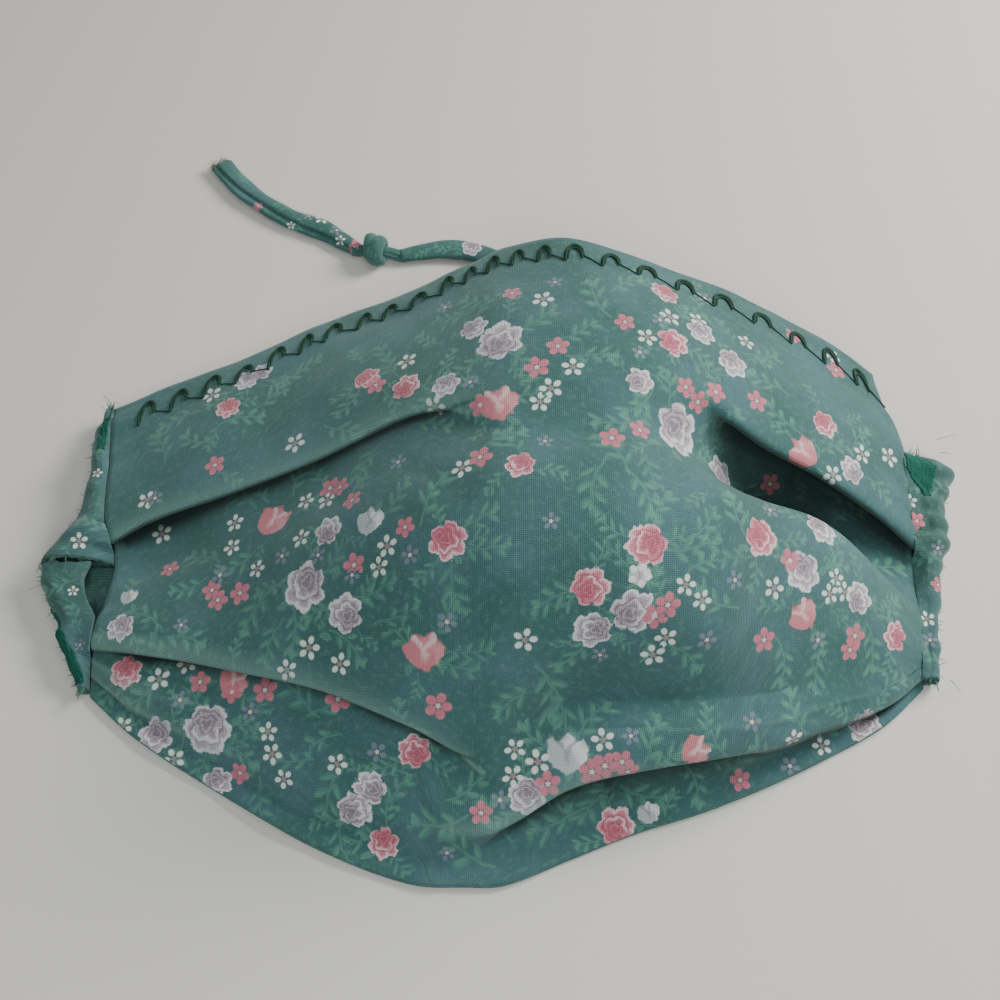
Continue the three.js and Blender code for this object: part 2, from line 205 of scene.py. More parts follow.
def strip_section(width, thickness, slit, lean):
    """A folded strip's section: a flat oval with a slit that runs in from one side."""
    turn = np.arange(TIE_SIDES) * 2 * math.pi / TIE_SIDES
    across, high = np.cos(turn), np.sin(turn)
    flat = np.abs(high) ** ROUNDNESS * np.sign(high)
    into = slit * np.exp(-((turn - lean) / SLIT_SPREAD) ** 2)
    return np.stack([across * (1 - into) * width / 2, (flat * (1 - into)) * thickness / 2], -1)


print("points along the tie: %d and %d" % (1 + len(TIE_ROUTE), len(TAIL_ROUTE)))

# %% [markdown]
# Handling leaves the strip a little uneven: its width and thickness swing softly, its slit wanders
# and the whole strip twists by a few degrees. Next to the knot it is drawn narrow.

# %% Make the tie


def tie_piece(name, route, slit, slit_lean, wrinkle, knot_at):
    """One free stretch of the tie, with small wrinkles along it, drawn narrow next to the knot."""
    path = smooth_path([(x, y, TIE_THICKNESS / 2) for x, y in route], TIE_STEP)
    run = np.linspace(0, 1, len(path)) * len(path) * TIE_STEP
    sections = []
    for s in run:
        drawn = np.interp(abs(s - knot_at * run[-1]), (0, 5, 14), (0.55, 0.8, 1.0))
        width = TIE_WIDTH * drawn * (0.93 + 0.05 * math.sin(s / 5.3) + 0.03 * math.sin(s / 1.9 + 1))
        thickness = TIE_THICKNESS * (0.95 + 0.04 * math.sin(s / 3.1 + 2))
        sections.append(strip_section(width, thickness, slit, slit_lean + wrinkle * math.sin(s / 6.0)))
    points = swept_points(path, np.array(sections), twist=0.12 * np.sin(run / 9.0))
    points[..., 2] = np.maximum(points[..., 2], FLOOR_REST)
    return make_piece(name, points.reshape(-1, 3), sweep_faces(len(path), TIE_SIDES)), path


def length_of(path):
    """The length of a path along all its points."""
    return float(np.linalg.norm(np.diff(path, axis=0), axis=1).sum())


tie_strand, strand_path = tie_piece("cloth_tie", [TIE_START] + TIE_ROUTE, 0.42, 3.6, 0.15, 1)
tie_tail, tail_path = tie_piece("cloth_tie_tail", TAIL_ROUTE, 0.55, 2.3, 0.2, 0)
print("tie: %.0f mm to the knot, %.0f mm of tail" % (length_of(strand_path), length_of(tail_path)))

# %% [markdown]
# The panel is one sheet of cloth in three pleats. It could be pinned and simulated, but then no fold
# would lie where the photograph shows it. So ten lines are charted that cross it from seam to
# seam: hems, fold edges, valleys and the crown. Each is a row of shares of the mask's half width,
# half depth and crown height, and a fold's tuck is a share of the pleat depth. They are the solid's
# own tables, read here at a finer step.

# %% Chart the lines that cross the panel
HALF_WIDTH = 88.0
HALF_DEPTH = 67.0
CROWN_HEIGHT = 46.0
CLOTH = 1.2
PLEAT_DEPTH = 16.0
LAYER_SPACING = 2.2
FOLD_EASE = 3.0
FOLD_CLOSING = 4.5
HEM_DROP = 0.45
HEM_REST = 5.0

ACROSS = (-1.0, -0.88, -0.66, -0.44, -0.22, -0.08, 0.0, 0.15, 0.3, 0.45, 0.6, 0.75, 0.9, 1.0)
top_hem = {
    "along": (0.6, 0.66, 0.74, 0.85, 0.895, 0.945, 0.975, 0.955, 0.91, 0.88, 0.865, 0.83, 0.77, 0.69),
    "rise": (0.11, 0.15, 0.24, 0.35, 0.495, 0.61, 0.675, 0.77, 0.75, 0.65, 0.53, 0.4, 0.28, 0.2)}
top_panel = {
    "along": (0.34, 0.39, 0.46, 0.54, 0.61, 0.63, 0.64, 0.63, 0.63, 0.6, 0.54, 0.49, 0.42, 0.36),
    "rise": (0.16, 0.23, 0.36, 0.5, 0.67, 0.785, 0.845, 0.9, 0.89, 0.81, 0.67, 0.51, 0.36, 0.22)}
first_fold = {
    "along": (0.08, 0.13, 0.18, 0.23, 0.29, 0.28, 0.275, 0.3, 0.34, 0.33, 0.24, 0.19, 0.12, 0.05),
    "rise": (0.165, 0.24, 0.38, 0.55, 0.76, 0.87, 0.92, 0.95, 0.92, 0.79, 0.62, 0.47, 0.29, 0.17),
    "tuck": (0.94, 0.88, 0.75, 0.56, 0.28, 0.1, 0.0, 0.0, 0.0, 0.1, 0.38, 0.69, 0.88, 1.0)}
first_valley = {
    "along": (-0.03, 0.02, 0.08, 0.12, 0.15, 0.14, 0.13, 0.12, 0.15, 0.15, 0.04, 0.02, -0.06, -0.09),
    "rise": (0.08, 0.1, 0.29, 0.48, 0.71, 0.85, 0.9, 0.92, 0.88, 0.6, 0.13, 0.07, 0.05, 0.08)}
crown = {
    "along": (-0.13, -0.09, -0.06, -0.09, -0.12, -0.13, -0.13, -0.13, -0.13, -0.05, 0.055, 0.03,
              -0.08, -0.18),
    "rise": (0.115, 0.18, 0.33, 0.59, 0.86, 0.96, 1.0, 1.02, 1.01, 0.94, 0.77, 0.59, 0.32, 0.11)}
dome_front = {
    "along": (-0.21, -0.2, -0.23, -0.28, -0.36, -0.4, -0.42, -0.42, -0.4, -0.36, -0.28, -0.24, -0.26,
              -0.24),
    "rise": (0.12, 0.19, 0.3, 0.5, 0.7, 0.78, 0.81, 0.84, 0.83, 0.77, 0.66, 0.49, 0.25, 0.105)}
second_fold = {
    "along": (-0.275, -0.31, -0.39, -0.49, -0.61, -0.68, -0.66, -0.53, -0.53, -0.53, -0.49, -0.43,
              -0.37, -0.29),
    "rise": (0.12, 0.18, 0.27, 0.37, 0.39, 0.33, 0.34, 0.38, 0.4, 0.39, 0.33, 0.25, 0.16, 0.09),
    "tuck": (0.75, 0.69, 0.62, 0.5, 0.28, 0.12, 0.0, 0.0, 0.0, 0.0, 0.0, 0.0, 0.0, 0.0)}
second_valley = {
    "along": (-0.31, -0.4, -0.5, -0.61, -0.73, -0.77, -0.76, -0.65, -0.63, -0.62, -0.58, -0.5, -0.42,
              -0.33),
    "rise": (0.06, 0.11, 0.17, 0.23, 0.22, 0.2, 0.23, 0.35, 0.38, 0.36, 0.3, 0.22, 0.13, 0.07)}
third_fold = {
    "along": (-0.35, -0.46, -0.6, -0.73, -0.83, -0.86, -0.845, -0.76, -0.72, -0.685, -0.63, -0.55,
              -0.46, -0.36),
    "rise": (0.035, 0.06, 0.09, 0.12, 0.13, 0.15, 0.17, 0.27, 0.3, 0.28, 0.23, 0.16, 0.09, 0.05),
    "tuck": (0.0, 0.0, 0.0, 0.0, 0.0, 0.08, 0.16, 0.22, 0.25, 0.2, 0.12, 0.06, 0.0, 0.0)}
bottom_hem = {
    "along": (-0.415, -0.545, -0.72, -0.875, -0.98, -0.99, -0.985, -0.91, -0.835, -0.775, -0.7, -0.61,
              -0.505, -0.39)}
LEFT_SEAM = ((-1.0, -0.42, -0.25, -0.12, 0.0, 0.08, 0.15, 0.35, 0.6, 1.0),
             (0.95, 0.955, 0.955, 0.94, 0.935, 0.945, 0.965, 0.98, 1.0, 1.0))
RIGHT_SEAM = ((-1.0, -0.4, -0.08, 0.15, 0.46, 0.57, 0.7, 1.0),
              (0.96, 0.965, 0.98, 0.985, 0.98, 0.955, 0.94, 0.94))
print("crossing lines are charted at %d places from seam to seam" % len(ACROSS))

# %% [markdown]
# In a pleat the cloth comes down to the fold edge, turns under itself, runs back by the tuck and
# turns down again. Where the tuck dies out, the same points spread along the open cloth, so that one
# recipe makes a deep pleat at the seam and plain cloth at the crown.

# %% Fold the pleats
STATIONS = 171
PLEAT_STEPS = (3, 6, 3, 3, 3, 6, 3)
SMALL_PLEAT_STEPS = (3, 4, 2, 2, 2, 4, 3)
SECTION_STEPS = (24, 24, *PLEAT_STEPS, 10, 24, 24, 24, *PLEAT_STEPS, 8, 9, *SMALL_PLEAT_STEPS, 10, 7)
stations = np.linspace(-1, 1, STATIONS)


def line_points(line):
    """One crossing line at every station, as depth and height."""
    return np.stack([HALF_DEPTH * read_smooth(ACROSS, line["along"], stations),
                     CROWN_HEIGHT * read_smooth(ACROSS, line["rise"], stations)], -1)


def pleat_points(fold, above, below):
    """The control points of a pleat at every station."""
    edge = line_points(fold)
    tuck = PLEAT_DEPTH * np.maximum(0, read_smooth(ACROSS, fold["tuck"], stations))
    back = unit(above - edge)
    under = np.stack([back[:, 1], -back[:, 0]], -1) * LAYER_SPACING
    ease = np.minimum(FOLD_EASE, tuck / 3)
    part = np.clip(tuck / FOLD_CLOSING, 0, 1)
    shut = (part * part * (3 - 2 * part))[:, None]
    flat = 0 * tuck
    closed = ((flat, 0), (flat, 1), (ease, 1), (tuck - ease, 1), (tuck, 1), (tuck, 2), (tuck - ease, 2))
    points = [edge + back * FOLD_EASE]
    for i, (run, layer) in enumerate(closed):
        folded = edge + back * run[:, None] + under * layer
        open_cloth = edge + (below - edge) * i / len(closed)
        points.append(open_cloth + (folded - open_cloth) * shut)
    return points


print("cross sections: %d, with %d steps each" % (STATIONS, sum(SECTION_STEPS)))

# %% [markdown]
# Cloth has no corners, so a section isn't drawn through its points but near them, on a cubic spline
# that smooths every turn. The sheet's middle surface is all the sections side by side, cut off at
# the seams. Along it, two lengths are measured in millimetres of cloth: u across and v down.

# %% Draw the middle of the sheet


def section_lines():
    """The cloth's middle line at every station, shape (stations, points, 2)."""
    hem, top, valley, high, front, low = [
        line_points(line) for line in (top_hem, top_panel, first_valley, crown, dome_front, second_valley)]
    end = np.stack([HALF_DEPTH * read_smooth(ACROSS, bottom_hem["along"], stations),
                    np.full(STATIONS, HEM_DROP)], -1)
    rest = end + (HEM_REST, 0)
    controls = [hem, top, *pleat_points(first_fold, top, valley), valley, high, front,
                *pleat_points(second_fold, front, low), low,
                *pleat_points(third_fold, low, rest), rest, end]
    controls = [2 * controls[0] - controls[1], *controls, 2 * controls[-1] - controls[-2]]
    lines = []
    for span, count in enumerate(SECTION_STEPS):
        p = controls[span:span + 4]
        for t in np.arange(count) / count:
            lines.append(((1 - t)**3 * p[0] + (3 * t**3 - 6 * t**2 + 4) * p[1]
                          + (-3 * t**3 + 3 * t**2 + 3 * t + 1) * p[2] + t**3 * p[3]) / 6)
    lines.append(controls[-2])
    return np.stack(lines, 1)


def seam_out(side, depth):
    """How far out the left (-1) or right (1) seam runs at a depth."""
    keys, values = LEFT_SEAM if side < 0 else RIGHT_SEAM
    return HALF_WIDTH * read_smooth(keys, values, np.clip(np.asarray(depth) / HALF_DEPTH, -1, 1))


sections = section_lines()
depth, height = sections[..., 0], sections[..., 1]
out = np.where(stations[:, None] < 0, seam_out(-1, depth), seam_out(1, depth))
middle = np.stack([stations[:, None] * out, depth, height], -1)
along = unit(np.gradient(sections, axis=1))
normal = np.stack([np.zeros_like(depth), along[..., 1], -along[..., 0]], -1)
cloth_v = np.concatenate([np.zeros((STATIONS, 1)),
                          np.cumsum(np.linalg.norm(np.diff(sections, axis=1), axis=2), axis=1)], 1)
steps_u = np.linalg.norm(np.diff(middle, axis=0), axis=2)
cloth_u = np.concatenate([np.zeros((1, middle.shape[1])), np.cumsum(steps_u, axis=0)], 0)
cloth_u -= cloth_u[STATIONS // 2]
SAMPLES = middle.shape[1]
print("cloth grid %d x %d, middle length %.0f mm, side lengths %.0f and %.0f mm" % (
    STATIONS, SAMPLES, cloth_v[STATIONS // 2, -1], cloth_v[0, -1], cloth_v[-1, -1]))
print("top hem %.0f mm, bottom hem %.0f mm" % (np.ptp(cloth_u[:, 0]), np.ptp(cloth_u[:, -1])))

# %% [markdown]
# Real cotton is never as smooth as a spline. Close to the seams it is gathered, so small folds run
# in from the side and fade. Over the whole sheet lie low dents from handling. A displace modifier
# could add them, but it would push the layers of a pleat through each other. Here the relief moves
# the cloth along its normal and is held back wherever the cloth bends.

# %% Work out gathers and dents
LEFT_GATHER = 0.22
RIGHT_GATHER = 0.26
SOFT_DENT = 0.32
SMALL_DENT = 0.13
TOP_HEM_RISE = 0.22
TOP_HEM_DEEP = 7.5
BOTTOM_HEM_RISE = 0.18
BOTTOM_HEM_DEEP = 6.5
HEM_STEP = 0.35


def wave_noise(u, v, scale, seed, count=14):
    """Smooth noise from a sum of waves with seeded directions, about -1 to 1."""
    source = np.random.default_rng(seed)
    total = np.zeros(np.broadcast(u, v).shape)
    for _ in range(count):
        angle = source.uniform(0, math.pi * 2)
        length = scale * source.uniform(0.7, 1.6)
        phase = source.uniform(0, math.pi * 2)
        total += np.sin((u * math.cos(angle) + v * math.sin(angle)) * 2 * math.pi / length + phase)
    return total / math.sqrt(count)


from_left = (stations[:, None] + 1) * HALF_WIDTH + 0 * cloth_v
from_right = (1 - stations[:, None]) * HALF_WIDTH + 0 * cloth_v
gather = np.exp(-from_left / 6.0) * wave_noise(cloth_u * 0.2, cloth_v, 6.0, 11) * LEFT_GATHER
gather += np.exp(-from_right / 7.0) * wave_noise(cloth_u * 0.2, cloth_v, 6.5, 12) * RIGHT_GATHER
dents = SOFT_DENT * wave_noise(cloth_u, cloth_v, 34, 3) + SMALL_DENT * wave_noise(cloth_u, cloth_v, 13, 5)
bend = np.linalg.norm(np.gradient(along, axis=1), axis=2) / np.maximum(np.gradient(cloth_v, axis=1), 1e-3)
calm = 1 / (1 + (bend / 0.12) ** 2)
for _ in range(10):
    calm[:, 1:-1] = np.minimum(calm[:, 1:-1], (calm[:, :-2] + calm[:, 2:]) / 2 + 0.02)
relief = (gather + dents) * (0.25 + 0.75 * calm)
hem_fold = TOP_HEM_RISE / (1 + np.exp((cloth_v - TOP_HEM_DEEP) / HEM_STEP))
bottom_v = cloth_v[:, -1:] - cloth_v
hem_fold = hem_fold + BOTTOM_HEM_RISE / (1 + np.exp((bottom_v - BOTTOM_HEM_DEEP) / HEM_STEP))
print("relief from %.2f to %.2f mm" % (relief.min(), relief.max()))

# %% [markdown]
# The mask is sewn from two cloths, the printed one outside and the lining inside. Each is a wall: two
# grids of points, one for each face, joined round the edge. A solidify modifier would do as much for
# one cloth, but here both follow the same middle and must never cross, so each keeps a small gap
# from it.

# %% Make the two cloths of the panel


def wall_faces(rows, columns):
    """Quads of a closed wall: the upper grid, the lower grid and the strips round the edge."""
    grid = np.arange(rows * columns).reshape(rows, columns)
    a, b, c, d = grid[:-1, :-1], grid[:-1, 1:], grid[1:, 1:], grid[1:, :-1]
    upper = np.stack([a, d, c, b], -1).reshape(-1, 4)
    lower = upper[:, ::-1] + rows * columns
    rim = np.concatenate([grid[0, :-1], grid[:-1, -1], grid[-1, :0:-1], grid[:0:-1, 0]])
    after = np.roll(rim, -1)
    strip = np.stack([rim, after, after + rows * columns, rim + rows * columns], -1)
    return np.concatenate([upper, lower, strip])


def wall_piece(name, upper, lower):
    """A closed cloth wall between two grids of points."""
    rows, columns = upper.shape[:2]
    points = np.concatenate([upper.reshape(-1, 3), lower.reshape(-1, 3)])
    return make_piece(name, points, wall_faces(rows, columns))


INNER_GAP = 0.06
outer_face = middle + normal * (CLOTH / 2 + relief + hem_fold)[..., None]
outer_back = middle + normal * (INNER_GAP + relief * 0.9)[..., None]
lining_face = middle + normal * (-CLOTH / 2 + relief * 0.8)[..., None]
lining_back = middle + normal * (-INNER_GAP + relief * 0.9)[..., None]
for face, low in ((outer_face, 0.10), (outer_back, 0.06), (lining_back, 0.04), (lining_face, 0.0)):
    face[..., 2] = np.maximum(face[..., 2], low)

printed_cloth = wall_piece("printed_cloth", outer_face, outer_back)
every = slice(None, None, 2)
lining_cloth = wall_piece("lining_cloth", lining_back[every], lining_face[every])
print("printed cloth: %d faces" % len(printed_cloth.data.polygons))

# %% [markdown]
# The print is a small all-over pattern of roses, tulips, five-petalled flowers and leaf sprigs. A
# repeating tile would be quick, but the flowers would then fall on other folds than in the
# photograph. So they are charted one by one: each has the pixel at which it shows, its size in
# millimetres and its turn in degrees. The smallest have a pixel only.

# %% Chart the flowers
MAUVE_ROSES = (
    (305, 587, 5.0, 0), (208, 730, 5.2, 40), (500, 340, 5.2, 200), (677, 431, 5.6, 60),
    (803, 572, 4.2, 20), (634, 612, 4.4, 130), (822, 528, 3.8, 70), (345, 613, 4.0, 250),
    (155, 737, 3.6, 10), (592, 630, 3.9, 300), (859, 598, 3.4, 160), (733, 363, 3.8, 40),
    (328, 530, 3.4, 200), (865, 727, 3.6, 80), (527, 797, 3.8, 20), (355, 810, 3.8, 140),
    (370, 788, 3.4, 260), (217, 783, 3.2, 60), (120, 627, 3.2, 0), (720, 475, 4.0, 190),
    (474, 328, 3.2, 100), (446, 385, 3.2, 30), (640, 381, 3.0, 140), (247, 380, 3.2, 15),
    (852, 470, 3.2, 240), (660, 826, 2.8, 120), (262, 372, 2.6, 200), (701, 332, 3.4, 50))
PINK_TULIPS = (
    (274, 519, 4.4, -35), (498, 402, 4.6, 8), (424, 650, 4.4, 2), (234, 681, 3.6, -30),
    (803, 451, 4.0, 50), (803, 614, 3.7, 40), (697, 750, 3.4, -60))
PINK_ROSES = (
    (448, 541, 4.0, 60), (647, 545, 4.2, 310), (591, 587, 3.8, 150), (761, 538, 4.0, 80),
    (414, 751, 3.4, 250), (384, 843, 3.2, 30), (616, 826, 3.8, 190), (126, 672, 3.6, 40),
    (665, 293, 3.4, 10), (674, 342, 3.6, 130), (825, 424, 3.2, 60), (895, 636, 3.2, 280),
    (367, 378, 3.2, 90), (406, 386, 3.4, 180), (228, 408, 3.0, 30), (520, 464, 3.0, 0))
WHITE_TULIPS = (
    (567, 752, 4.4, 0), (370, 520, 3.6, -15), (129, 596, 2.3, -15), (640, 574, 2.4, 0),
    (648, 812, 2.6, 20))
WHITE_FLOWERS = (
    (235, 523), (232, 547), (301, 538), (306, 501), (327, 500), (387, 546), (379, 567), (257, 569),
    (309, 648), (287, 670), (340, 664), (462, 468), (525, 640), (666, 638), (653, 655), (702, 600),
    (686, 585), (407, 361), (543, 299), (573, 367), (435, 407), (551, 388), (540, 402), (162, 534),
    (79, 541), (159, 679), (187, 664), (268, 732), (272, 754), (284, 779), (515, 749), (513, 776),
    (538, 762), (603, 740), (794, 739), (822, 746), (836, 578), (774, 588), (295, 443), (647, 337),
    (640, 575), (845, 592), (212, 395), (147, 500), (830, 594), (698, 320), (746, 342), (832, 356),
    (670, 317), (862, 454), (889, 457), (833, 475), (123, 726), (174, 759), (337, 764))
PINK_FLOWERS = (
    (340, 487), (352, 500), (405, 527), (354, 565), (218, 600), (240, 593), (170, 569), (212, 590),
    (376, 385), (480, 457), (215, 465), (512, 293), (558, 346), (537, 367), (757, 401), (686, 387),
    (698, 402), (716, 392), (850, 650), (764, 640), (668, 605), (740, 780), (240, 773), (200, 682),
    (481, 813), (548, 784), (605, 766), (592, 772), (622, 762), (628, 772), (770, 484), (625, 322),
    (793, 336), (640, 430), (330, 488), (655, 616), (232, 692), (438, 706), (265, 690), (790, 560),
    (855, 636), (836, 370), (338, 699), (480, 405), (612, 438))
LILAC_STARS = (
    (220, 575), (410, 555), (551, 521), (545, 441), (707, 640), (631, 736), (752, 722), (790, 766),
    (398, 462), (155, 498), (445, 307), (555, 282), (282, 556), (318, 555), (352, 575), (660, 320),
    (702, 328), (735, 580), (818, 640), (500, 800), (377, 752), (705, 298), (447, 622), (181, 625),
    (447, 853), (180, 700), (250, 712), (770, 510), (640, 352), (600, 655), (470, 382))
SMALL_SIZE = 2.4
FLOWER_CHARTS = (
    MAUVE_ROSES, PINK_TULIPS, PINK_ROSES, WHITE_TULIPS, WHITE_FLOWERS, PINK_FLOWERS, LILAC_STARS)
print("flowers charted:", sum(len(chart) for chart in FLOWER_CHARTS))

# %% [markdown]
# Leaves fill the ground between the flowers. The sprigs have narrow leaves in rows, and single broad
# leaves sit close to the roses. They matter less than the flowers, so more are added at random
# places later.

# %% Chart the leaves
LEAF_SPRIGS = (
    (262, 605, 7, 150), (292, 628, 6, 190), (330, 560, 6, 320), (372, 590, 6, 280), (392, 500, 6, 320),
    (240, 560, 6, 120), (205, 560, 6, 60), (190, 585, 5, 110), (318, 478, 6, 20), (300, 480, 5, 340),
    (262, 490, 5, 40), (345, 645, 6, 230), (275, 640, 6, 160), (430, 500, 7, 330), (470, 520, 6, 280),
    (455, 580, 7, 200), (480, 545, 6, 260), (395, 615, 6, 300), (440, 620, 6, 330), (400, 640, 6, 60),
    (450, 660, 6, 250), (470, 650, 5, 290), (545, 690, 8, 200), (560, 715, 7, 180), (520, 700, 6, 120),
    (600, 480, 8, 170), (615, 455, 7, 30), (640, 490, 7, 210), (660, 515, 6, 330), (690, 545, 7, 270),
    (700, 525, 6, 310), (620, 560, 6, 60), (560, 600, 6, 110), (575, 650, 6, 150), (680, 655, 6, 230),
    (660, 580, 5, 20), (705, 565, 5, 300), (740, 515, 6, 20), (735, 560, 6, 110), (720, 600, 6, 60),
    (835, 555, 6, 320), (880, 570, 6, 290), (845, 620, 6, 250), (780, 660, 6, 190), (820, 665, 6, 160),
    (870, 645, 6, 200), (890, 610, 5, 300), (480, 300, 6, 60), (455, 320, 6, 110), (530, 320, 7, 300),
    (520, 365, 6, 220), (465, 365, 6, 120), (430, 340, 5, 60), (385, 360, 6, 20), (390, 400, 5, 200),
    (430, 425, 6, 260), (500, 440, 6, 300), (350, 400, 5, 150), (575, 330, 6, 300), (590, 355, 6, 260),
    (600, 300, 7, 30), (625, 285, 6, 300), (690, 315, 6, 290), (705, 365, 6, 240), (640, 400, 6, 140),
    (620, 420, 6, 110), (650, 465, 6, 200), (700, 455, 6, 280), (715, 430, 6, 310), (760, 355, 6, 300),
    (770, 385, 6, 60), (785, 420, 6, 40), (835, 450, 6, 290), (845, 500, 6, 240), (860, 440, 5, 320),
    (180, 420, 6, 100), (200, 440, 6, 60), (240, 420, 6, 280), (270, 395, 6, 310), (300, 370, 6, 290),
    (160, 450, 6, 30), (230, 480, 5, 240), (340, 430, 6, 230), (360, 470, 6, 200), (370, 460, 6, 150),
    (145, 620, 6, 60), (160, 655, 6, 30), (145, 690, 6, 120), (180, 760, 6, 160), (235, 740, 6, 300),
    (200, 700, 6, 20), (235, 755, 6, 250), (262, 800, 6, 200), (300, 700, 7, 60), (330, 700, 7, 310),
    (320, 745, 6, 110), (335, 790, 7, 150), (300, 760, 6, 80), (345, 840, 6, 200), (395, 800, 6, 320),
    (420, 730, 6, 200), (440, 820, 7, 100), (470, 850, 7, 60), (460, 790, 6, 300), (500, 830, 6, 20),
    (545, 740, 6, 60), (590, 725, 6, 320), (575, 780, 6, 200), (600, 800, 7, 150), (560, 820, 7, 100),
    (640, 790, 7, 250), (650, 745, 6, 330), (660, 765, 6, 290), (720, 740, 6, 30), (740, 760, 6, 300),
    (690, 780, 6, 200), (770, 750, 6, 60), (840, 730, 6, 290), (845, 755, 6, 240), (800, 715, 6, 20),
    (890, 690, 5, 300), (180, 640, 6, 250), (110, 700, 6, 160), (95, 560, 5, 60), (280, 590, 6, 250))
BROAD_LEAVES = (
    (306, 622, 2.2, 10), (327, 637, 2.0, 60), (336, 574, 2.0, 340), (283, 606, 2.0, 300),
    (213, 757, 2.2, 20), (236, 722, 2.0, 300), (182, 722, 2.0, 70), (322, 625, 1.8, 330),
    (617, 636, 2.0, 100), (655, 602, 1.9, 330), (568, 775, 2.0, 60), (478, 352, 2.0, 120),
    (521, 352, 2.0, 320), (655, 442, 2.0, 100), (702, 430, 2.1, 290), (676, 455, 2.0, 200),
    (751, 372, 1.9, 300), (718, 378, 1.8, 60), (790, 588, 2.0, 150), (822, 572, 1.9, 300),
    (842, 536, 1.9, 280), (876, 610, 1.8, 230), (504, 800, 2.0, 80), (340, 822, 1.9, 120),
    (388, 800, 1.9, 300), (378, 508, 1.8, 330), (458, 560, 1.8, 240), (632, 560, 2.0, 80),
    (604, 600, 1.9, 240), (745, 548, 1.9, 80), (636, 842, 1.9, 300), (430, 765, 1.8, 240),
    (368, 855, 1.7, 100), (138, 750, 1.9, 80), (150, 690, 1.8, 60), (512, 420, 2.0, 230),
    (476, 398, 2.0, 100), (410, 668, 1.8, 140), (440, 664, 1.8, 220), (586, 760, 2.0, 300))
print("leaves charted:", len(LEAF_SPRIGS) + len(BROAD_LEAVES))

# %% [markdown]
# A ray from the camera through a pixel finds the place on the cloth, with its u and v. The motif's
# facing is turned a part of the way from the cloth towards the eye, because a printed flower on a
# slope still reads as nearly round in the photograph.

# %% Find a place on the cloth
EYE_SHARE = 0.45
grid_faces = wall_faces(STATIONS, SAMPLES)[:(STATIONS - 1) * (SAMPLES - 1)]
outer_points = outer_face.reshape(-1, 3)
cloth_tree = BVHTree.FromPolygons([Vector(p) for p in outer_points], grid_faces.tolist())
face_middle = outer_points[grid_faces].mean(axis=1)
flat_u, flat_v = cloth_u.reshape(-1), cloth_v.reshape(-1)
face_u, face_v = flat_u[grid_faces].mean(axis=1), flat_v[grid_faces].mean(axis=1)


def cloth_place(px, py, surface=None):
    """The place on a cloth that shows at a pixel, as a point, normal and cloth position."""
    tree, faces, points, map_u, map_v = surface or (cloth_tree, grid_faces, outer_points, flat_u, flat_v)
    spot, spot_normal, face, _ = tree.ray_cast(Vector(eye), Vector(pixel_ray(px, py)))
    if face is None:
        return None
    corners = faces[face]
    weights = poly_3d_calc([Vector(points[c]) for c in corners], spot)
    u = sum(w * map_u[c] for w, c in zip(weights, corners))
    v = sum(w * map_v[c] for w, c in zip(weights, corners))
    facing = np.array(spot_normal)
    if facing @ (eye - np.array(spot)) < 0:
        facing = -facing
    return np.array(spot), unit(facing + EYE_SHARE * unit(eye - np.array(spot))), u, v


print("cloth at the middle of the picture:", np.round(cloth_place(PICTURE / 2, PICTURE / 2)[0], 1))

# %% [markdown]
# A picture wrapped on the cloth would have to be drawn first, and an image stretches at a fold. Here
# each face near a motif stores its own position inside the motif, and the material draws the petals
# from that. The values sit on face corners: a face belongs to one motif of a layer alone, so nothing
# is blended between neighbours, and a motif never shows through to another layer of a pleat.

# %% Store motifs on the faces
MOTIF_REACH = 1.25
FACE_REACH = 0.8


def motif_layer(piece, name, motifs, faces, points, middles, places_u, places_v):
    """Stores one layer of motifs on face corners: position inside the motif, kind and chance."""
    mesh = piece.data
    codes = np.zeros((len(mesh.polygons), 4, 3), np.float32)
    codes[..., 2] = -1
    nearest = np.full(len(faces), 1e9)
    for spot, facing, u, v, size, turn, kind in motifs:
        reach = size * MOTIF_REACH + FACE_REACH
        near = np.flatnonzero((np.abs(places_u - u) < reach * 1.6) & (np.abs(places_v - v) < reach * 1.6))
        gap = np.linalg.norm(middles[near] - spot, axis=1)
        keep = (gap < reach) & (gap / size < nearest[near])
        near, gap = near[keep], gap[keep]
        nearest[near] = gap / size
        across = unit(look_right - (look_right @ facing) * facing)
        upward = np.cross(facing, across)
        angle = math.radians(turn)
        p_axis = across * math.cos(angle) + upward * math.sin(angle)
        q_axis = upward * math.cos(angle) - across * math.sin(angle)
        local = points[faces[near]] - spot
        codes[near, :, 0] = local @ p_axis / size
        codes[near, :, 1] = local @ q_axis / size
        codes[near, :, 2] = kind + 0.05 + 0.9 * random.random()
    attribute = mesh.attributes.new(name, "FLOAT_VECTOR", "CORNER")
    values = np.zeros((len(mesh.loops), 3), np.float32)
    values[:, 2] = -1
    starts = np.empty(len(mesh.polygons), np.int32)
    mesh.polygons.foreach_get("loop_start", starts)
    loops = (starts[:len(faces), None] + np.arange(4)).reshape(-1)
    values[loops] = codes[:len(faces)].reshape(-1, 3)
    attribute.data.foreach_set("vector", values.reshape(-1))


def placed(chart, kind, size=None, surface=None):
    """Motifs of one chart with their places on the cloth."""
    motifs = []
    for row in chart:
        place = cloth_place(row[0], row[1], surface)
        if place is None:
            continue
        own_size = row[2] if len(row) > 2 else size * random.uniform(0.88, 1.1)
        turn = row[3] if len(row) > 3 else random.uniform(0, 360)
        motifs.append((*place, own_size, turn, kind))
    return motifs


# %% [markdown]
# The panel's motifs go into four layers, as a printer would cut four screens. Around each rose
# and pink tulip three more sprigs are set at random, so that no flower floats on bare ground.

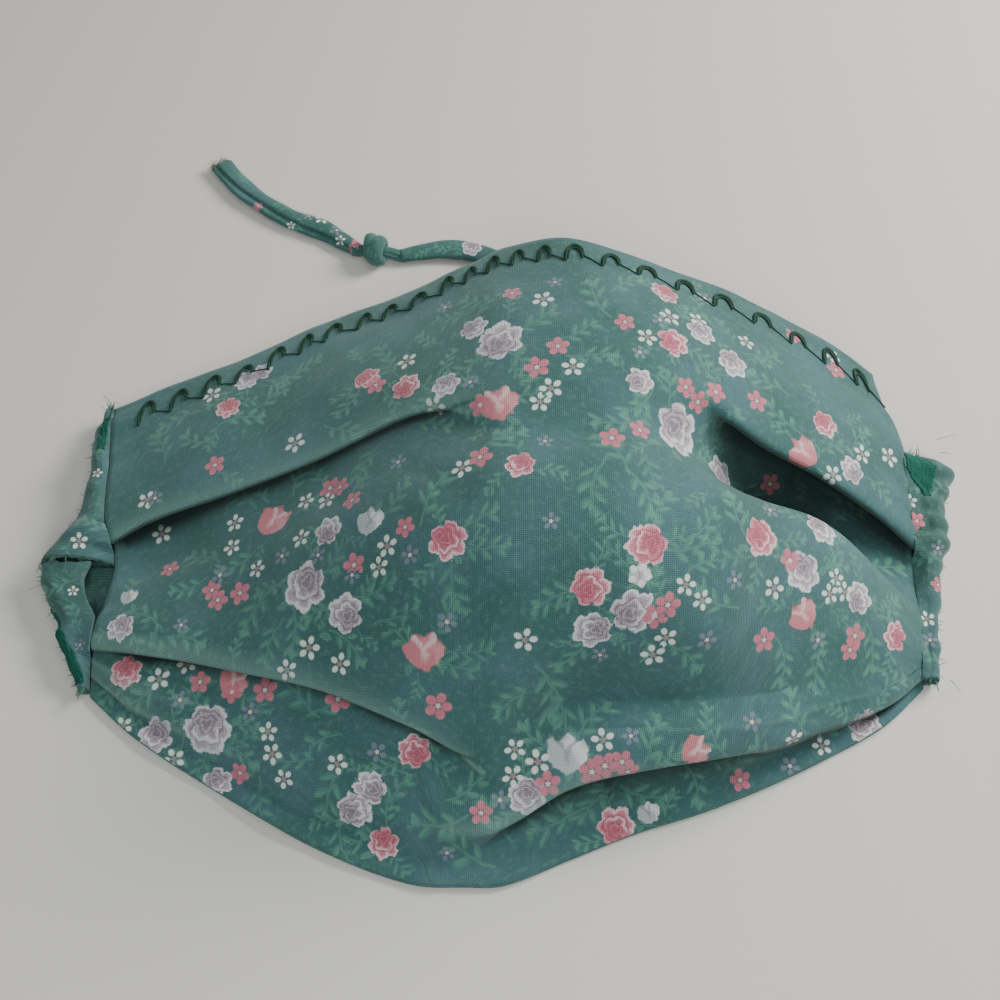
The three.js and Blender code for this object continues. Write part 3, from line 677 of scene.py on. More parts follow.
# %% Lay the print on the panel
big_motifs = (placed(MAUVE_ROSES, 0) + placed(PINK_ROSES, 1)
              + placed(WHITE_TULIPS, 2) + placed(PINK_TULIPS, 3))
small_motifs = (placed(WHITE_FLOWERS, 0, SMALL_SIZE) + placed(PINK_FLOWERS, 1, SMALL_SIZE)
                + placed(LILAC_STARS, 2, SMALL_SIZE * 0.85))
leaves = placed(LEAF_SPRIGS, 0)
beside = []
for px, py, size, _ in MAUVE_ROSES + PINK_ROSES + PINK_TULIPS:
    for way in random.uniform(0, 360) + np.array([0, 130, 230]):
        reach = size * 5 + random.uniform(6, 16)
        beside.append((px + reach * math.cos(math.radians(way)), py - reach * math.sin(math.radians(way)),
                       random.uniform(3.4, 5.2), way - 90))
leaves += placed(beside, 0)
broad_leaves = placed(BROAD_LEAVES, 1)
cloth_layers = {"big_flowers": big_motifs, "small_flowers": small_motifs,
                "leaves_one": leaves[0::2], "leaves_two": leaves[1::2] + broad_leaves}
for layer_name, motifs in cloth_layers.items():
    motif_layer(printed_cloth, layer_name, motifs, grid_faces, outer_points, face_middle, face_u, face_v)
    print(layer_name, len(motifs))

# %% [markdown]
# Casings and tie carry the same print, so they get the same layers with charts of their own. A UV
# map in millimetres of cloth then gives every piece the same weave, whatever its size.

# %% Helpers for print and weave on any piece
LAYERS = {
    "Big": "big_flowers", "Small": "small_flowers", "Leaves_One": "leaves_one", "Leaves_Two": "leaves_two"}


def print_piece(piece, faces, points, u, v, charts):
    """Lays the motifs of some charts on a small piece: each has a layer, a kind and rows of pixels."""
    middles = points[faces].mean(axis=1)
    surface = (BVHTree.FromPolygons([Vector(p) for p in points], faces.tolist()), faces, points, u, v)
    layers = dict.fromkeys(LAYERS.values(), ())
    for layer_name, kind, chart in charts:
        layers[layer_name] = (*layers[layer_name], *placed(chart, kind, SMALL_SIZE, surface))
    for layer_name, motifs in layers.items():
        motif_layer(piece, layer_name, motifs, faces, points, middles,
                    u[faces].mean(axis=1), v[faces].mean(axis=1))


def store_map(piece, at_points):
    """A UV map in millimetres of cloth, from two values for each point."""
    layer = piece.data.uv_layers.new(name="cloth")
    corners = np.empty(len(piece.data.loops), np.int32)
    piece.data.loops.foreach_get("vertex_index", corners)
    layer.data.foreach_set("uv", at_points[corners].reshape(-1).astype(np.float32))


def cloth_map(piece, u, v):
    """The map of a wall: its two grids of points have the same places on the cloth."""
    store_map(piece, np.tile(np.stack([u, v], -1), (2, 1)))


cloth_map(printed_cloth, flat_u, flat_v)
cloth_map(lining_cloth, cloth_u[every].reshape(-1), cloth_v[every].reshape(-1))
print("UV maps:", [piece.data.uv_layers[0].name for piece in (printed_cloth, lining_cloth)])

# %% [markdown]
# Cloth that lies deep inside a pleat gets painted shade, darker where other cloth hides the sky. An
# ambient occlusion node could find such places, but it costs time in each render and can't be
# exported. So rays towards the sky measure it once, on every few points, and the result is stored.

# %% Find the cloth deep in the pleats for the painted shade
SKY_RINGS = ((0.35, 8), (0.8, 8), (1.2, 5))
ROOM_ABOVE = 60.0
coarse_rows = np.unique(np.append(np.arange(0, STATIONS, 3), STATIONS - 1))
coarse_columns = np.unique(np.append(np.arange(0, SAMPLES, 4), SAMPLES - 1))
sky = [Vector((math.cos(a) * math.cos(e), math.sin(a) * math.cos(e), math.sin(e)))
       for e, count in SKY_RINGS for a in np.arange(count) * 2 * math.pi / count + e]
hidden = np.zeros((len(coarse_rows), len(coarse_columns)))
for i, row in enumerate(coarse_rows):
    for j, column in enumerate(coarse_columns):
        out_of = normal[row, column]
        spot = Vector(outer_face[row, column] + out_of * 0.15)
        free = [d for d in sky if d.dot(Vector(out_of)) > 0.05]
        seen = [d for d in free if cloth_tree.ray_cast(spot, d, ROOM_ABOVE)[0] is None]
        hidden[i, j] = 1 - len(seen) / len(sky)
pleat_shade = np.stack([np.interp(np.arange(SAMPLES), coarse_columns, line) for line in hidden])
pleat_shade = np.stack([np.interp(np.arange(STATIONS), coarse_rows, line) for line in pleat_shade.T], -1)
print("sheltered cloth: %.0f%%" % (100 * (pleat_shade > 0.6).mean()))

# %% [markdown]
# Along the edges of the folds, where the cloth bends outward, a painted highlight makes it paler. The
# bend is how fast the normal turns along the cloth. On the right half of the mask it is fainter.

# %% Find the fold edges for the painted highlight
SHARP_BEND = 0.25
RIGHT_FAINTER = 0.55
RIGHT_FAINTER_FROM = 35.0
step_along = outer_face[:, 4:] - outer_face[:, :-4]
bend = ((normal[:, 4:] - normal[:, :-4]) * step_along).sum(-1) / np.maximum((step_along ** 2).sum(-1), 0.01)
highlit = np.zeros(bend.shape)
for shift in range(-3, 4):
    highlit += np.clip(np.roll(bend, shift, axis=1) / SHARP_BEND, 0, 1) / 7
highlit = np.pad(highlit, ((0, 0), (2, 2)), mode="edge")
highlit = highlit * (1 - RIGHT_FAINTER * np.clip(outer_face[..., 0] / RIGHT_FAINTER_FROM, 0, 1))
# Both are stored for the material: one paints shade deep in the pleats, the other a highlight on the fold
# edges.
for name, values in (("pleat_shade", pleat_shade), ("highlit", highlit)):
    layer = printed_cloth.data.attributes.new(name, "FLOAT", "POINT")
    layer.data.foreach_set("value", np.tile(values.reshape(-1), 2).astype(np.float32))
print("rubbed folds: %.1f%%" % (100 * (highlit > 0.5).mean()))

# %% [markdown]
# The casings are strips of the same cotton, folded over the seams like a U and gathered by the
# stitching. Each is a wall that starts at the upper lip, turns round the fold at the outer side and
# ends at the lower lip. A bevelled curve would give a plain tube, and here width and height change
# along the seam, so each is charted. The left one is in two pieces, with the hollow for the tie
# between them.

# %% Chart the casings
BAND_WIDTH = 12.0
BAND_HEIGHT = 10.0
BAND_WALL = 1.2
SEAM_GAP = 0.3
ARC_START = 0.2
CASING_FLAT = 0.3
CASING_WRINKLE = 0.36
LINING_SIDE_WRINKLE = 0.30
LEFT_GATHERS = 0.6
RIGHT_GATHERS = 1.0
LEFT_UPPER = {
    "along": (0.61, 0.52, 0.4, 0.24, 0.13, 0.06, 0.015),
    "width": (0.16, 0.26, 0.36, 0.42, 0.65, 1.08, 1.27),
    "height": (0.5, 0.72, 0.88, 0.92, 0.98, 0.92, 0.82)}
LEFT_LOWER = {
    "along": (0.005, -0.05, -0.12, -0.2, -0.28, -0.36, -0.4),
    "width": (1.28, 1.22, 0.98, 0.71, 0.48, 0.26, 0.18), "height": (0.66, 0.66, 0.62, 0.58, 0.5, 0.4, 0.34)}
RIGHT_CASING = {
    "along": (0.41, 0.385, 0.34, 0.28, 0.2, 0.12, 0.04, -0.06, -0.16, -0.26, -0.33, -0.37),
    "width": (0.5, 0.8, 0.915, 0.8, 0.64, 0.66, 0.54, 0.42, 0.34, 0.28, 0.28, 0.2),
    "height": (0.62, 0.78, 0.88, 0.9, 0.9, 0.84, 0.76, 0.64, 0.56, 0.48, 0.4, 0.34)}
print("casings are charted at %d, %d and %d places" % tuple(
    len(casing["along"]) for casing in (LEFT_UPPER, LEFT_LOWER, RIGHT_CASING)))

# %% [markdown]
# One function gives the place on a casing for any share along the seam and any share of the way
# round the U. Its wrinkles run mostly from the seam to the outer fold, as gathers do. The upper lip
# is moved over the panel's edge and down to the cloth there, so that no gap shows at the seam.

# %% The shape of a casing


def casing_grid(side, casing, alongs, ways, inset, wrinkle=0.0, seed=1):
    """Points on a casing, or at an inset from its outer face, for each place along and way round."""
    width = BAND_WIDTH * read_smooth(casing["along"], casing["width"], alongs)[:, None]
    tall = BAND_HEIGHT * read_smooth(casing["along"], casing["height"], alongs)[:, None]
    gather = RIGHT_GATHERS if side > 0 else LEFT_GATHERS
    lift = wrinkle * (gather * wave_noise(alongs[:, None] * HALF_DEPTH, 3.0 * ways, 4.2, seed)
                      + 0.7 * wave_noise(alongs[:, None] * HALF_DEPTH + 0 * ways, ways * 14, 6.5, seed + 1))
    lift = lift * np.clip(ways * 6, 0, 1) * np.clip((1.02 - ways) * 5, 0, 1)
    inset = inset - lift
    radius = np.minimum(tall / 2, (1 - CASING_FLAT) * width) - inset
    flat = width - inset - radius
    lip = np.minimum(1, np.minimum(ways, 1 - ways) / ARC_START)
    turn = math.pi * (0.5 - np.clip((ways - ARC_START) / (1 - 2 * ARC_START), 0, 1))
    deep = alongs * HALF_DEPTH
    x = side * (seam_out(side, deep)[:, None] + SEAM_GAP + flat * lip + radius * np.cos(turn))
    z = tall / 2 + (tall / 2 - inset) * np.sin(turn)
    return np.stack([x, deep[:, None] + 0 * x, np.maximum(z, FLOOR_REST)], -1)


def edge_height(side, deep):
    """How high the panel's outer cloth stands at the seam, for each depth."""
    edge = outer_face[0 if side < 0 else -1]
    near = np.abs(edge[None, :, 1] - np.atleast_1d(deep)[:, None]) < 1.0
    return np.where(near, edge[None, :, 2], 0).max(axis=1)


def lap_over(side, face, deep, ways, lap, drop):
    """Moves the upper lip of a casing over the panel's edge and up or down to the cloth there."""
    over = np.clip(1 - ways / 0.16, 0, 1) ** 1.5 * (np.asarray(lap) > 0)
    meet = np.maximum(edge_height(side, deep), 1.0)[:, None]
    face[..., 0] -= side * lap * over
    face[..., 2] += np.minimum(meet + drop - face[..., 2], 2.5) * over


print("panel edge at the left seam's middle: %.1f mm high" % edge_height(-1, 0.0)[0])

# %% [markdown]
# A casing piece is the wall between that outer face and the same face set in by the cloth. Its ends
# are cut and left raw, so their last points are uneven. The start of the way round may differ along
# the piece, because the lower left casing stands off the seam and leaves a hollow.

# %% Make the casings
CASING_ROWS = 110
CASING_COLUMNS = 71
RAW_EDGE = 0.35
SHELL = BAND_WALL - 0.35


def casing_piece(name, side, casing, seed, lap, starts=((-1, 1), (0, 0)), charts=()):
    """One folded casing whose upper lip laps over the panel's edge, with its print."""
    alongs = np.linspace(casing["along"][0], casing["along"][-1], CASING_ROWS)
    first_way = read_smooth(*starts, alongs)[:, None]
    ways = first_way + (1 - first_way) * np.linspace(0, 1, CASING_COLUMNS)[None, :]
    upper = casing_grid(side, casing, alongs, ways, 0.0, CASING_WRINKLE, seed)
    lower = casing_grid(side, casing, alongs, ways, SHELL, LINING_SIDE_WRINKLE, seed)
    deep = alongs * HALF_DEPTH
    for face, drop in ((upper, 0.25), (lower, -0.45)):
        lap_over(side, face, deep, ways, np.where(first_way < 0.03, lap, 0), drop)
        if starts[1][0] > 0:
            under = np.clip(ways * 8 - 4, 0, 1) * np.clip(1 - (deep[0] - deep) / 2, 0, 1)[:, None]
            face[..., 1] += 1.4 * under
            face[..., 2] += 0.9 * under
    ragged = np.random.default_rng(seed).uniform(-RAW_EDGE, RAW_EDGE, CASING_COLUMNS)
    for end, outward in ((0, 1), (-1, -1)):
        upper[end, :, 1] += outward * ragged * 0.7
        lower[end, :, 1] += outward * ragged * 0.7
    if side < 0:
        upper, lower, ways = upper[:, ::-1], lower[:, ::-1], ways[:, ::-1]
    piece = wall_piece(name, upper, lower)
    u = deep[:, None] + 0 * ways
    v = np.cumsum(np.linalg.norm(np.diff(upper, axis=1, prepend=upper[:, :1]), axis=2), axis=1)
    cloth_map(piece, u.reshape(-1), v.reshape(-1))
    faces = wall_faces(CASING_ROWS, CASING_COLUMNS)[:(CASING_ROWS - 1) * (CASING_COLUMNS - 1)]
    print_piece(piece, faces, upper.reshape(-1, 3), u.reshape(-1), v.reshape(-1), charts)
    return piece


upper_casing = casing_piece("left_casing_upper", -1, LEFT_UPPER, 4, 0.15, charts=(
    ("small_flowers", 0, ((79, 541, 2.0, 20), (97, 473, 1.3), (82, 489, 1.3))),
    ("leaves_one", 0, ((98, 525, 4.5, 60), (65, 553, 4, 150), (95, 450, 4, 20)))))
lower_casing = casing_piece(
    "left_casing_lower", -1, LEFT_LOWER, 5, 0.15,
    ((0.005, -0.05, -0.12, -0.20, -0.40), (0.07, 0.09, 0.08, 0.01, 0.0)), (
        ("small_flowers", 0, ((73, 591, 1.3),)), ("small_flowers", 2, ((80, 645, 1.5),)),
        ("leaves_one", 0, ((60, 585, 4.5, 100), (75, 620, 4, 40)))))
right_casing = casing_piece("right_casing", 1, RIGHT_CASING, 6, 0.9, charts=(
    ("small_flowers", 0, ((910, 501, 1.8), (927, 619, 1.9), (922, 662, 1.7))),
    ("small_flowers", 1, ((917, 521, 2.0), (938, 585, 1.7))),
    ("small_flowers", 2, ((938, 548, 1.9), (930, 640, 1.8))),
    ("leaves_one", 0, ((935, 490, 4.5, 80), (930, 560, 4.5, 100), (930, 655, 4.5, 70)))))
print("casings:", [len(p.data.polygons) for p in (upper_casing, lower_casing, right_casing)])

# %% [markdown]
# Bright green lining peeks out at three places where the casings don't cover it. On the real mask it
# is the edge of the inner cloth, pulled out by the stitching. It is a loopy cloth, so each piece is
# a thin rough wall with an uneven edge. It follows the casing's own wrinkles, because two cloths that
# are sewn together move together.

# %% Make the lining that shows
LINING_PROUD = 0.22
LINING_DEEP = 0.45


def lining_piece(name, side, casing, spans, seed, wrinkles, lap=0.0, ragged=0.05):
    """A patch of lining over a casing: spans give along, from and to, as in the solid."""
    keys = [row[0] for row in spans]
    alongs = np.linspace(keys[0], keys[-1], 40)
    start = read_smooth(keys, [row[1] for row in spans], alongs)
    end = read_smooth(keys, [row[2] for row in spans], alongs)
    chance = np.random.default_rng(seed)
    end = end + np.convolve(chance.uniform(-ragged, ragged, 42), np.ones(3) / 3, "valid")
    start = start + np.convolve(chance.uniform(-ragged, ragged, 42) * 0.6, np.ones(3) / 3, "valid")
    ways = start[:, None] + (end - start)[:, None] * np.linspace(0, 1, 24)[None, :]
    upper = casing_grid(side, casing, alongs, ways, -LINING_PROUD, CASING_WRINKLE, wrinkles)
    rough = 0.12 * wave_noise(alongs[:, None] * HALF_DEPTH + 0 * ways, ways * 30, 2.1, seed, 20)
    upper[..., 2] += rough
    upper[..., 0] += side * rough * 0.6
    lower = casing_grid(side, casing, alongs, ways, LINING_DEEP, CASING_WRINKLE, wrinkles)
    for face, drop in ((upper, 0.45), (lower, -0.2)):
        lap_over(side, face, alongs * HALF_DEPTH, ways, lap, drop)
    if side < 0:
        upper, lower = upper[:, ::-1], lower[:, ::-1]
    piece = wall_piece(name, upper, lower)
    cloth_map(piece, (alongs[:, None] * HALF_DEPTH + 0 * ways).reshape(-1), (ways * 25).reshape(-1))
    return piece


top_lining = lining_piece("lining_top", -1, LEFT_UPPER, (
    (0.56, 0.08, 0.26), (0.49, 0.07, 0.29), (0.41, 0.10, 0.24)), 8, 4)
edge_lining = lining_piece("lining_edge", -1, LEFT_LOWER, (
    (-0.14, 0.42, 0.50), (-0.24, 0.30, 0.52), (-0.33, 0.19, 0.52), (-0.385, 0.17, 0.50)), 9, 5)
patch_lining = lining_piece("lining_patch", 1, RIGHT_CASING, (
    (0.395, 0.01, 0.17), (0.30, 0.03, 0.20), (0.225, 0.15, 0.215)), 10, 6, 0.9, 0.02)
print("linings:", [len(p.data.polygons) for p in (top_lining, edge_lining, patch_lining)])

# %% [markdown]
# The decorative row below the top hem is a heavy dark thread in little arches, eight millimetres
# apart, each joined to the next by a thread that dips between them. A texture would lie flat, and
# these threads catch the light, so they are thin tubes. A function gives the point for any position
# on the sheet, and the arches are laid out there in millimetres of cloth.

# %% Find points along the hem
hem_u = cloth_u[:, 0]


def on_cloth(u, v, lift):
    """The point at a distance u along the top hem and v down from it, lifted off the cloth."""
    i = float(np.clip(np.interp(u, hem_u, np.arange(STATIONS)), 0, STATIONS - 1.001))
    a = int(i)
    spots = []
    for row in (a, a + 1):
        j = float(np.clip(np.interp(v, cloth_v[row], np.arange(SAMPLES)), 0, SAMPLES - 1.001))
        b = int(j)
        spots.append(outer_face[row, b] * (b + 1 - j) + outer_face[row, b + 1] * (j - b)
                     + normal[row, b] * lift)
    return spots[0] * (a + 1 - i) + spots[1] * (i - a)


print("a point in the middle of the hem:", np.round(on_cloth(0.0, 4.0, 0.0), 1))

# %% [markdown]
# One arch is charted with its thickness, since the thread is doubled on the way up and thin between
# two arches. The pitch is stretched so that each arch stands where the photograph has it. A second
# thread runs along inside each arch.

# %% Sew the arches below the top hem
ARCH_PITCH = 7.9
ARCH_FOOT = 7.6
THREAD = 0.23
THREAD_SIDES = 6
ARCH_PLACES = (
    (308, 352), (333, 338), (365, 333), (390, 322), (416, 322), (448, 301), (473, 285), (496, 269),
    (521, 258), (548, 256), (577, 262), (616, 274), (650, 278), (688, 295), (724, 310), (763, 328),
    (799, 349), (832, 370), (862, 392))
ARCH_SHAPE = (
    (0.0, -0.9), (0.15, 0.4), (0.35, 1.7), (0.8, 2.9), (1.6, 3.6), (2.5, 3.6), (3.3, 3.0), (3.8, 2.0),
    (4.0, 0.9), (4.7, 0.5), (5.6, 0.2), (6.6, -0.3), (7.4, -0.7), (7.9, -0.9))
ARCH_THICK = [0.30, 0.42, 0.42, 0.34, 0.32, 0.38, 0.52, 0.54, 0.36, 0.16, 0.13, 0.12, 0.14, 0.24]


def thread_piece(name, paths, radius, sides):
    """Many threads as one mesh. Radius is a pair for both ends, or a list with a row for each path."""
    points, faces, first = [], [], 0
    turn = np.arange(sides) * 2 * math.pi / sides
    ring = np.stack([np.cos(turn), np.sin(turn)], -1)
    for number, path in enumerate(paths):
        path = np.asarray(path, float)
        thick = np.asarray(radius[number] if isinstance(radius, list) else radius, float)
        size = np.interp(np.linspace(0, 1, len(path)), np.linspace(0, 1, len(thick)), thick)[:, None, None]
        lies = abs(path[-1, 2] - path[0, 2]) < 4 * np.ptp(path[:, :2])
        up = (0.13, 0.21, 0.97) if lies else (0.9, 0.3, 0.1)
        points.append(swept_points(path, ring * size, up=up).reshape(-1, 3))
        faces += sweep_faces(len(path), sides, first)
        first += len(path) * sides
    return make_piece(name, np.concatenate(points), faces)


arch_starts = [cloth_place(*place)[2] - 2.1 for place in ARCH_PLACES]
while arch_starts[0] > hem_u[0] + 4 + ARCH_PITCH:
    arch_starts.insert(0, arch_starts[0] - ARCH_PITCH)
chance = np.random.default_rng(31)
stitch_paths, stitch_sizes = [], []
for k, start in enumerate(arch_starts):
    run = (arch_starts[k + 1] - start if k + 1 < len(arch_starts) else ARCH_PITCH) / ARCH_PITCH
    rise = chance.uniform(0.9, 1.3)
    shape = smooth_path([(start + x * run, ARCH_FOOT - y * rise) for x, y in ARCH_SHAPE], 0.28)
    stitch_paths.append([on_cloth(u, v, THREAD * 0.7) for u, v in shape])
    stitch_sizes.append(ARCH_THICK)
    lower_by = chance.uniform(0.5, 1.1)
    twin = [(start + (x * 0.8 + 0.45) * run, ARCH_FOOT - (y - lower_by) * rise) for x, y in ARCH_SHAPE[1:9]]
    stitch_paths.append([on_cloth(u, v, THREAD * 1.3) for u, v in smooth_path(twin, 0.28)])
    stitch_sizes.append([0.12, 0.26, 0.24, 0.22, 0.28, 0.34, 0.12])
arch_stitches = thread_piece("arch_stitches", stitch_paths, stitch_sizes, THREAD_SIDES)
print("arch stitches:", len(arch_starts))

# %% [markdown]
# The knot is one turn of the strip round itself, pulled tight. A lump with creases drawn on it would
# do from far away. Swept as flat strips, a core and two loops round it, its folds are real and catch
# the light.

# %% Tie the knot
KNOT_WIDTH = 8.0
KNOT_HEIGHT = 6.2
KNOT_STEP = 0.35
KNOT_LOOPS = ((0.25, 0.4, 1.2, 4.0, 2.7, -0.7), (-0.5, 2.4, 0.8, 2.7, 1.9, 0.3))


def knot_piece():
    """The overhand knot between the strand and the tail."""
    start, end = strand_path[-1], tail_path[0]
    way = unit(end - start)
    side = unit(np.cross(way, (0, 0, 1)))
    middle_point = (start + end) / 2
    parts = []
    core = [start - way * 1.5, start, start + way * 2.4 + (0, 0, 0.5), middle_point + (0, 0, 0.9),
            end - way * 2.4 + (0, 0, 0.5), end, end + way * 1.5]
    parts.append((smooth_path(core, KNOT_STEP), strip_section(3.0, 2.4, 0.2, 2.4)))
    for lean, shift, around, wide, thick, forward in KNOT_LOOPS:
        loop = []
        for t in np.linspace(-0.62, 0.62, 34) * around:
            turn = t * 2 * math.pi + math.pi / 2
            ring_side = side * math.cos(turn) * (KNOT_WIDTH / 2 - 1.35)
            ring_up = np.array([0, 0, 1]) * (math.sin(turn) * (KNOT_HEIGHT / 2 - 1.05))
            loop.append(middle_point + way * (shift + lean * 2.2 * t) + side * forward + ring_side + ring_up
                        + np.array([0, 0, KNOT_HEIGHT / 2 - middle_point[2]]))
        parts.append((smooth_path(loop, KNOT_STEP), strip_section(wide, thick, 0.1, 1.0)))
    points, faces, first = [], [], 0
    for path, section in parts:
        aim = unit(path - path.mean(axis=0))
        along_path = unit(np.gradient(path, axis=0))
        if len(points):
            cross = unit(np.cross(along_path, aim))
            up = np.cross(cross, along_path)
            ring = (path[:, None] + section[None, :, :1] * cross[:, None]
                    + section[None, :, 1:] * up[:, None])
        else:
            ring = swept_points(path, section)
        ring[..., 2] = np.maximum(ring[..., 2], FLOOR_REST)
        points.append(ring.reshape(-1, 3))
        faces += sweep_faces(len(path), TIE_SIDES, first)
        first += len(path) * TIE_SIDES
    return make_piece("cloth_tie_knot", np.concatenate(points), faces)


tie_knot = knot_piece()
print("knot: %d faces" % len(tie_knot.data.polygons))

# %% [markdown]
# Strand, tail and knot are strips with the same number of points round them, so their UV map can be
# counted off: round the section one way and along the path the other.

# %% Map the strips
STRIP_PITCH = 0.38
for piece, step in ((tie_strand, TIE_STEP), (tie_tail, TIE_STEP), (tie_knot, KNOT_STEP)):
    count = np.arange(len(piece.data.vertices))
    store_map(piece, np.stack([(count // TIE_SIDES) * step, (count % TIE_SIDES) * STRIP_PITCH], -1))
print("strips mapped in millimetres, %.2f mm round and %.2f mm along" % (STRIP_PITCH, TIE_STEP))

# %% [markdown]
# Cut cotton frays: single threads of the weave work loose along a raw edge. A hair system could grow
# them, but they would not be part of a mesh. So each is a thin curved tube that starts
# on the edge and bends a little at random.

# %% Shape a loose thread


def hair(start, way, length, bend, seed_source):
    """One loose thread from a point, in a direction, that bends away and sags a little."""
    way = unit(np.array(way, float))
    turn = unit(seed_source.normal(size=3))
    path = []
    for t in np.linspace(0, 1, 7):
        sag = np.array([0, 0, 0.25 * length * t * t * 0.4])
        point = start + way * length * t + turn * bend * t * t - sag
        point[2] = max(point[2], 0.12)
        path.append(point)
    return path


# %% [markdown]
# The tail's cut end has the thickest brush, in pale threads that point along the strip and spread to
# both sides.

# %% Fray the tail
BRUSH_HAIRS = 85
FRAY_SIDES = 4
chance = np.random.default_rng(77)
tail_end, tail_way = tail_path[-1], unit(tail_path[-1] - tail_path[-4])
tail_side = unit(np.cross(tail_way, (0, 0, 1)))
brush = []
for _ in range(BRUSH_HAIRS):
    spot = tail_end - tail_way * chance.uniform(0.2, 1.2)
    spot = spot + tail_side * chance.uniform(-0.5, 0.5) * TIE_WIDTH * 0.8
    spot = spot + np.array([0, 0, chance.uniform(-0.8, 1.1)])
    aim = tail_way + tail_side * chance.uniform(-0.5, 0.5) + (0, 0, chance.uniform(-0.2, 0.2))
    brush.append(hair(spot, aim, chance.uniform(0.8, 3.2), chance.uniform(0.2, 1.1), chance))
tail_fray = thread_piece("tail_fray", brush, (0.11, 0.05), FRAY_SIDES)
print("loose threads at the tail:", len(brush))

# %% [markdown]
# Each casing frays at its two cut ends and, more thinly, along its outer fold. A few long threads
# that the photograph shows are given one by one.

# %% Fray the casings
END_HAIRS = 44
FOLD_HAIRS = 46
LONG_THREADS = (
    ((-88.2, 41.0, 5.2), (-0.6, 0.9, 0.25), 4.5), ((-88.8, 40.0, 5.0), (-0.9, 0.3, 0.2), 3.5),
    ((-89.0, 39.0, 5.0), (-0.9, 0.9, 0.1), 3.0), ((95.5, 30.8, 7.6), (1.0, 0.32, 0.1), 5.5),
    ((96.0, 28.0, 6.6), (1.0, -0.1, 0.2), 2.6), ((-97.5, 1.0, 4.0), (-1.0, 0.4, 0.1), 2.4),
    ((-97.0, -3.0, 3.0), (-1.0, -0.3, 0.0), 2.6), ((90.5, -24.5, 2.0), (0.5, -1.0, 0.0), 2.8))
edge_hairs = []
for casing, side in ((LEFT_UPPER, -1), (LEFT_LOWER, -1), (RIGHT_CASING, 1)):
    first_along, last_along = casing["along"][0], casing["along"][-1]
    for _ in range(END_HAIRS):
        place = chance.choice([first_along, last_along])
        way_round = chance.uniform(0.05, 0.6)
        spot = casing_grid(side, casing, np.array([place]), np.array([[way_round]]), 0.2)[0, 0]
        aim = (side * chance.uniform(-0.2, 0.6), math.copysign(1, place - (first_along + last_along) / 2),
               chance.uniform(-0.1, 0.5))
        edge_hairs.append(hair(spot, aim, chance.uniform(0.5, 2.2), chance.uniform(0.2, 0.9), chance))
    for _ in range(FOLD_HAIRS):
        place = chance.uniform(last_along, first_along)
        way_round = chance.uniform(0.4, 0.6)
        spot = casing_grid(side, casing, np.array([place]), np.array([[way_round]]), 0.1)[0, 0]
        aim = (side, chance.uniform(-0.8, 0.8), chance.uniform(-0.2, 0.5))
        edge_hairs.append(hair(spot, aim, chance.uniform(0.3, 1.5), chance.uniform(0.1, 0.6), chance))
for spot, aim, length in LONG_THREADS:
    edge_hairs.append(hair(np.array(spot), aim, length, 1.1, chance))
casing_fray = thread_piece("casing_fray", edge_hairs, (0.10, 0.05), FRAY_SIDES)
print("loose threads at the casings:", len(edge_hairs))

# %% [markdown]
# Materials are node trees. Wired one by one, a formula takes dozens of lines that nobody can read. So
# a Wire stands for a socket and can be added, multiplied or compared like a number, and each such
# step adds one Math node.

# %% A wire that works like a number


class Wire:
    """A number inside a node tree."""

    def __init__(self, tree, socket):
        self.tree, self.socket = tree, socket

    def math(self, operation, *others, clamp=False):
        node = self.tree.nodes.new("ShaderNodeMath")
        node.operation, node.use_clamp = operation, clamp
        for slot, value in zip(node.inputs, (self, *others)):
            plug(self.tree, slot, value)
        return Wire(self.tree, node.outputs[0])

    def __add__(self, other):
        return self.math("ADD", other)

    def __sub__(self, other):
        return self.math("SUBTRACT", other)

    def __rsub__(self, other):
        return self.math("MULTIPLY", -1.0).math("ADD", other)

    def __mul__(self, other):
        return self.math("MULTIPLY", other)

    def __truediv__(self, other):
        return self.math("DIVIDE", other)

    __radd__, __rmul__ = __add__, __mul__

    def soft(self, low, high):
        """0 at low, 1 at high and smooth between; low may be above high."""
        node = self.tree.nodes.new("ShaderNodeMapRange")
        node.interpolation_type = "SMOOTHSTEP"
        flip = low > high
        values = (self, min(low, high), max(low, high), float(flip), float(not flip))
        for slot, value in zip(node.inputs, values):
            plug(self.tree, slot, value)
        return Wire(self.tree, node.outputs[0])


def plug(tree, slot, value):
    """Links a wire to a socket, or sets the socket's value."""
    if isinstance(value, Wire):
        tree.links.new(value.socket, slot)
    else:
        slot.default_value = value


# %% [markdown]
# Colours, noises and stored attributes need nodes of their own kind. Each gets one short function
# that returns a Wire.

# %% Nodes for colours and noises


def blend(tree, factor, one, two, way="MIX"):
    """Mixes two colours."""
    node = tree.nodes.new("ShaderNodeMix")
    node.data_type, node.blend_type = "RGBA", way
    for slot, value in zip((node.inputs[0], node.inputs[6], node.inputs[7]), (factor, one, two)):
        plug(tree, slot, value)
    return Wire(tree, node.outputs[2])


def noise(tree, place, scale, detail=2.0, roughness=0.5):
    """Soft random values from 0 to 1; the scale is in waves for each millimetre."""
    node = tree.nodes.new("ShaderNodeTexNoise")
    plug(tree, node.inputs["Vector"], place)
    node.inputs["Scale"].default_value = scale
    node.inputs["Detail"].default_value = detail
    node.inputs["Roughness"].default_value = roughness
    return Wire(tree, node.outputs["Fac"])


def split(tree, vector):
    """The three numbers of a vector."""
    node = tree.nodes.new("ShaderNodeSeparateXYZ")
    plug(tree, node.inputs[0], vector)
    return [Wire(tree, out) for out in node.outputs]


def tint(red, green, blue):
    """A colour from display values of 0 to 255."""
    shares = [c / 255 for c in (red, green, blue)]
    return (*(((c + 0.055) / 1.055) ** 2.4 if c > 0.04 else c / 12.92 for c in shares), 1.0)


print("mid grey in linear light: %.3f" % tint(128, 128, 128)[0])

